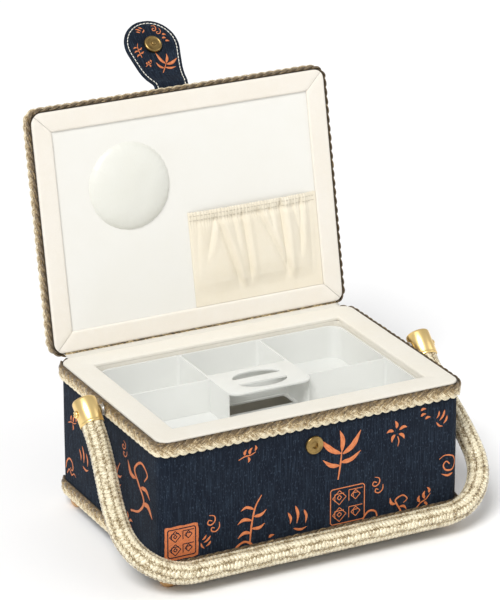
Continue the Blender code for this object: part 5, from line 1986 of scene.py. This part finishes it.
def addHandle():
    path = handlePath()
    length = sum((b - a).length for a, b in zip(path, path[1:]))
    turns = round(length / handle["turn"])
    values = {"Turns": float(turns), "Points": turns * handle["steps"], "Carriers": handle["carriers"],
              "Radius": handle["radius"], "Depth": handle["weaveDepth"], "Plane Normal": tuple(armNormal),
              "Strand Wide": handle["strandWide"], "Strand Thick": handle["strandThick"], "Length": length,
              "Material": paint["rope"]}
    mesh = growMesh("handle_braid", makeBraidTree(), values, pathMesh("handle path", path, path))
    addPiece("handle_braid", mesh, "handle", ["handle_cord"], smooth=None)
    # dark sleeve under the braid: the cord's core, its near-black colour painted shade so the gaps between
    # the strands read dark
    rows = []
    for i, p in enumerate(path):
        side = wayAt(path, i).cross(armNormal)
        rows.append([p + (armNormal * math.cos(2 * math.pi * k / 20)
                          + side * math.sin(2 * math.pi * k / 20)) * 0.0072 for k in range(20)])
    mesh = gridMesh("handle_shade_sleeve", rows, paint["core"], lambda i, j: (i * 0.004, j * 0.0022), loopCols=True,
                    caps=True)
    addPiece("handle_shade_sleeve", mesh, "handle", ["handle_core"], smooth=60)
    addFerrules()


def addFerrules():
    r, half = handle["ferrule"], handle["ferruleHalf"]
    wall = 0.0012
    bore = r - wall
    cup = [(0.0012, -half + 0.0012), (bore - 0.0015, -half + 0.0012), (bore, -half + 0.0024),
           (bore, half - 0.0004), (bore + 0.0003, half), (r - 0.0003, half), (r, half - 0.0004),
           (r, half - 0.0018), (r - 0.00022, half - 0.0022), (r, half - 0.0026), (r, -half + 0.0022),
           (r - 0.0003, -half + 0.0012), (r - 0.0009, -half + 0.0005), (r - 0.0018, -half + 0.0001),
           (r - 0.0030, -half), (0.0012, -half)]
    for label, side in (("left", -1), ("right", 1)):
        spot = pivot + Vector((side * handle["half"], 0, 0))
        mesh = turnedMesh("ferrule_cup_" + label, cup, spot, armWay, paint["gold"], 72)
        addPiece("ferrule_cup_" + label, mesh, "handle", ["ferrule_" + label])
        low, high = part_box("pivot_screw_" + label)
        head = high.x if side > 0 else -low.x
        shank = -high.x if side < 0 else low.x
        # round head with a driver slot
        under = head - 0.0023
        screw = [(0.0011, shank), (0.0019, shank + 0.002), (0.0019, under), (0.0030, under),
                 (0.0031, under + 0.0004), (0.0030, under + 0.0009), (0.0027, under + 0.0014),
                 (0.0020, under + 0.0018), (0.0011, head - 0.0004), (0.0005, head - 0.0003)]
        mesh = turnedMesh("handle_screw_" + label, screw, (0, pivot.y, pivot.z), (side, 0, 0), paint["gold"],
                          40)
        bm = bmesh.new()
        bm.from_mesh(mesh)
        for v in bm.verts:     # press the slot in
            if abs(v.co.x) > head - 0.0018 and abs(v.co.z - pivot.z) < 0.0005:
                v.co.x -= side * 0.0007
        bm.to_mesh(mesh)
        bm.free()
        addPiece("handle_screw_" + label, mesh, "body", ["pivot_screw_" + label])
        low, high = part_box("pivot_spacer_" + label)
        near, far = (low.x, high.x) if side > 0 else (-high.x, -low.x)
        bush = [(0.0022, near), (0.0022, far), (0.0038, far), (0.0045, far - 0.0004), (0.0046, far - 0.0010),
                (0.0040, (near + far) / 2), (0.0046, near + 0.0010), (0.0045, near + 0.0004), (0.0038, near)]
        mesh = turnedMesh("spacer_" + label, bush, (0, pivot.y, pivot.z), (side, 0, 0), paint["steel"], 40,
                          closed=True)
        addPiece("spacer_" + label, mesh, "body", ["pivot_spacer_" + label])


addSnap()
addHandle()
print("handle ready")


# feet
def addFeet():
    shape = [(0.0008, 0.0), (0.0040, 0.0), (0.0052, 0.0002), (0.0062, 0.0009), (0.0070, 0.0022),
             (0.0076, 0.0038), (0.0079, 0.0054), (0.0080, 0.0068), (0.0079, 0.0082), (0.0077, 0.0094),
             (0.0074, 0.0103), (0.0070, 0.0110), (0.0066, 0.0115), (0.0008, 0.0117)]
    for corner in ("front_left", "front_right", "back_left", "back_right"):
        low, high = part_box("foot_" + corner)
        spot = Vector(((low.x + high.x) / 2, (low.y + high.y) / 2, low.z))
        mesh = turnedMesh("bun_foot_" + corner, shape, spot, (0, 0, 1), paint["foot"], 48)
        addPiece("bun_foot_" + corner, mesh, "body", ["foot_" + corner])


addFeet()
print("feet ready")


# tray: the moulding with softened edges
def addTray():
    mesh = nodes["tray"].data.copy()
    mesh.name = "tray_moulding"
    bm = bmesh.new()
    bm.from_mesh(mesh)
    bmesh.ops.remove_doubles(bm, verts=bm.verts, dist=2e-6)
    bmesh.ops.dissolve_limit(bm, angle_limit=math.radians(1.0), verts=bm.verts, edges=bm.edges)
    bmesh.ops.recalc_face_normals(bm, faces=bm.faces)
    sharp = [e for e in bm.edges if len(e.link_faces) == 2 and e.calc_face_angle(0.0) > math.radians(50)]
    bmesh.ops.bevel(bm, geom=sharp, offset=0.00032, segments=2, profile=0.6, affect="EDGES",
                    clamp_overlap=True)
    bmesh.ops.triangulate(bm, faces=[f for f in bm.faces if len(f.verts) > 4])
    bm.to_mesh(mesh)
    bm.free()
    mesh.materials.clear()
    mesh.materials.append(paint["plastic"])
    addPiece("tray_moulding", mesh, "tray", ["tray"], smooth=35)


addTray()
print("tray ready")

# frame pieces that keep their own shape
carried = {
    "wall_board": "board", "bottom_board": "board", "inner_board": "board", "lid_board": "board",
    "pincushion_base": "cushionBoard", "rim_rail": "pine", "lid_pad": "foam", "base_cloth": "lidDenim",
    "ledge_left": "cotton", "ledge_right": "cotton", "socket_washer": "steel",
}
carried.update({"foot_screw_" + corner: "steel" for corner in ("front_left", "front_right", "back_left",
        "back_right")})
for name, tone in carried.items():
    slots = nodes[name].material_slots
    for k in range(len(slots)):
        slots[k].material = paint[tone]
    if not slots:
        nodes[name].data.materials.append(paint[tone])
print("carried pieces ready:", len(carried))
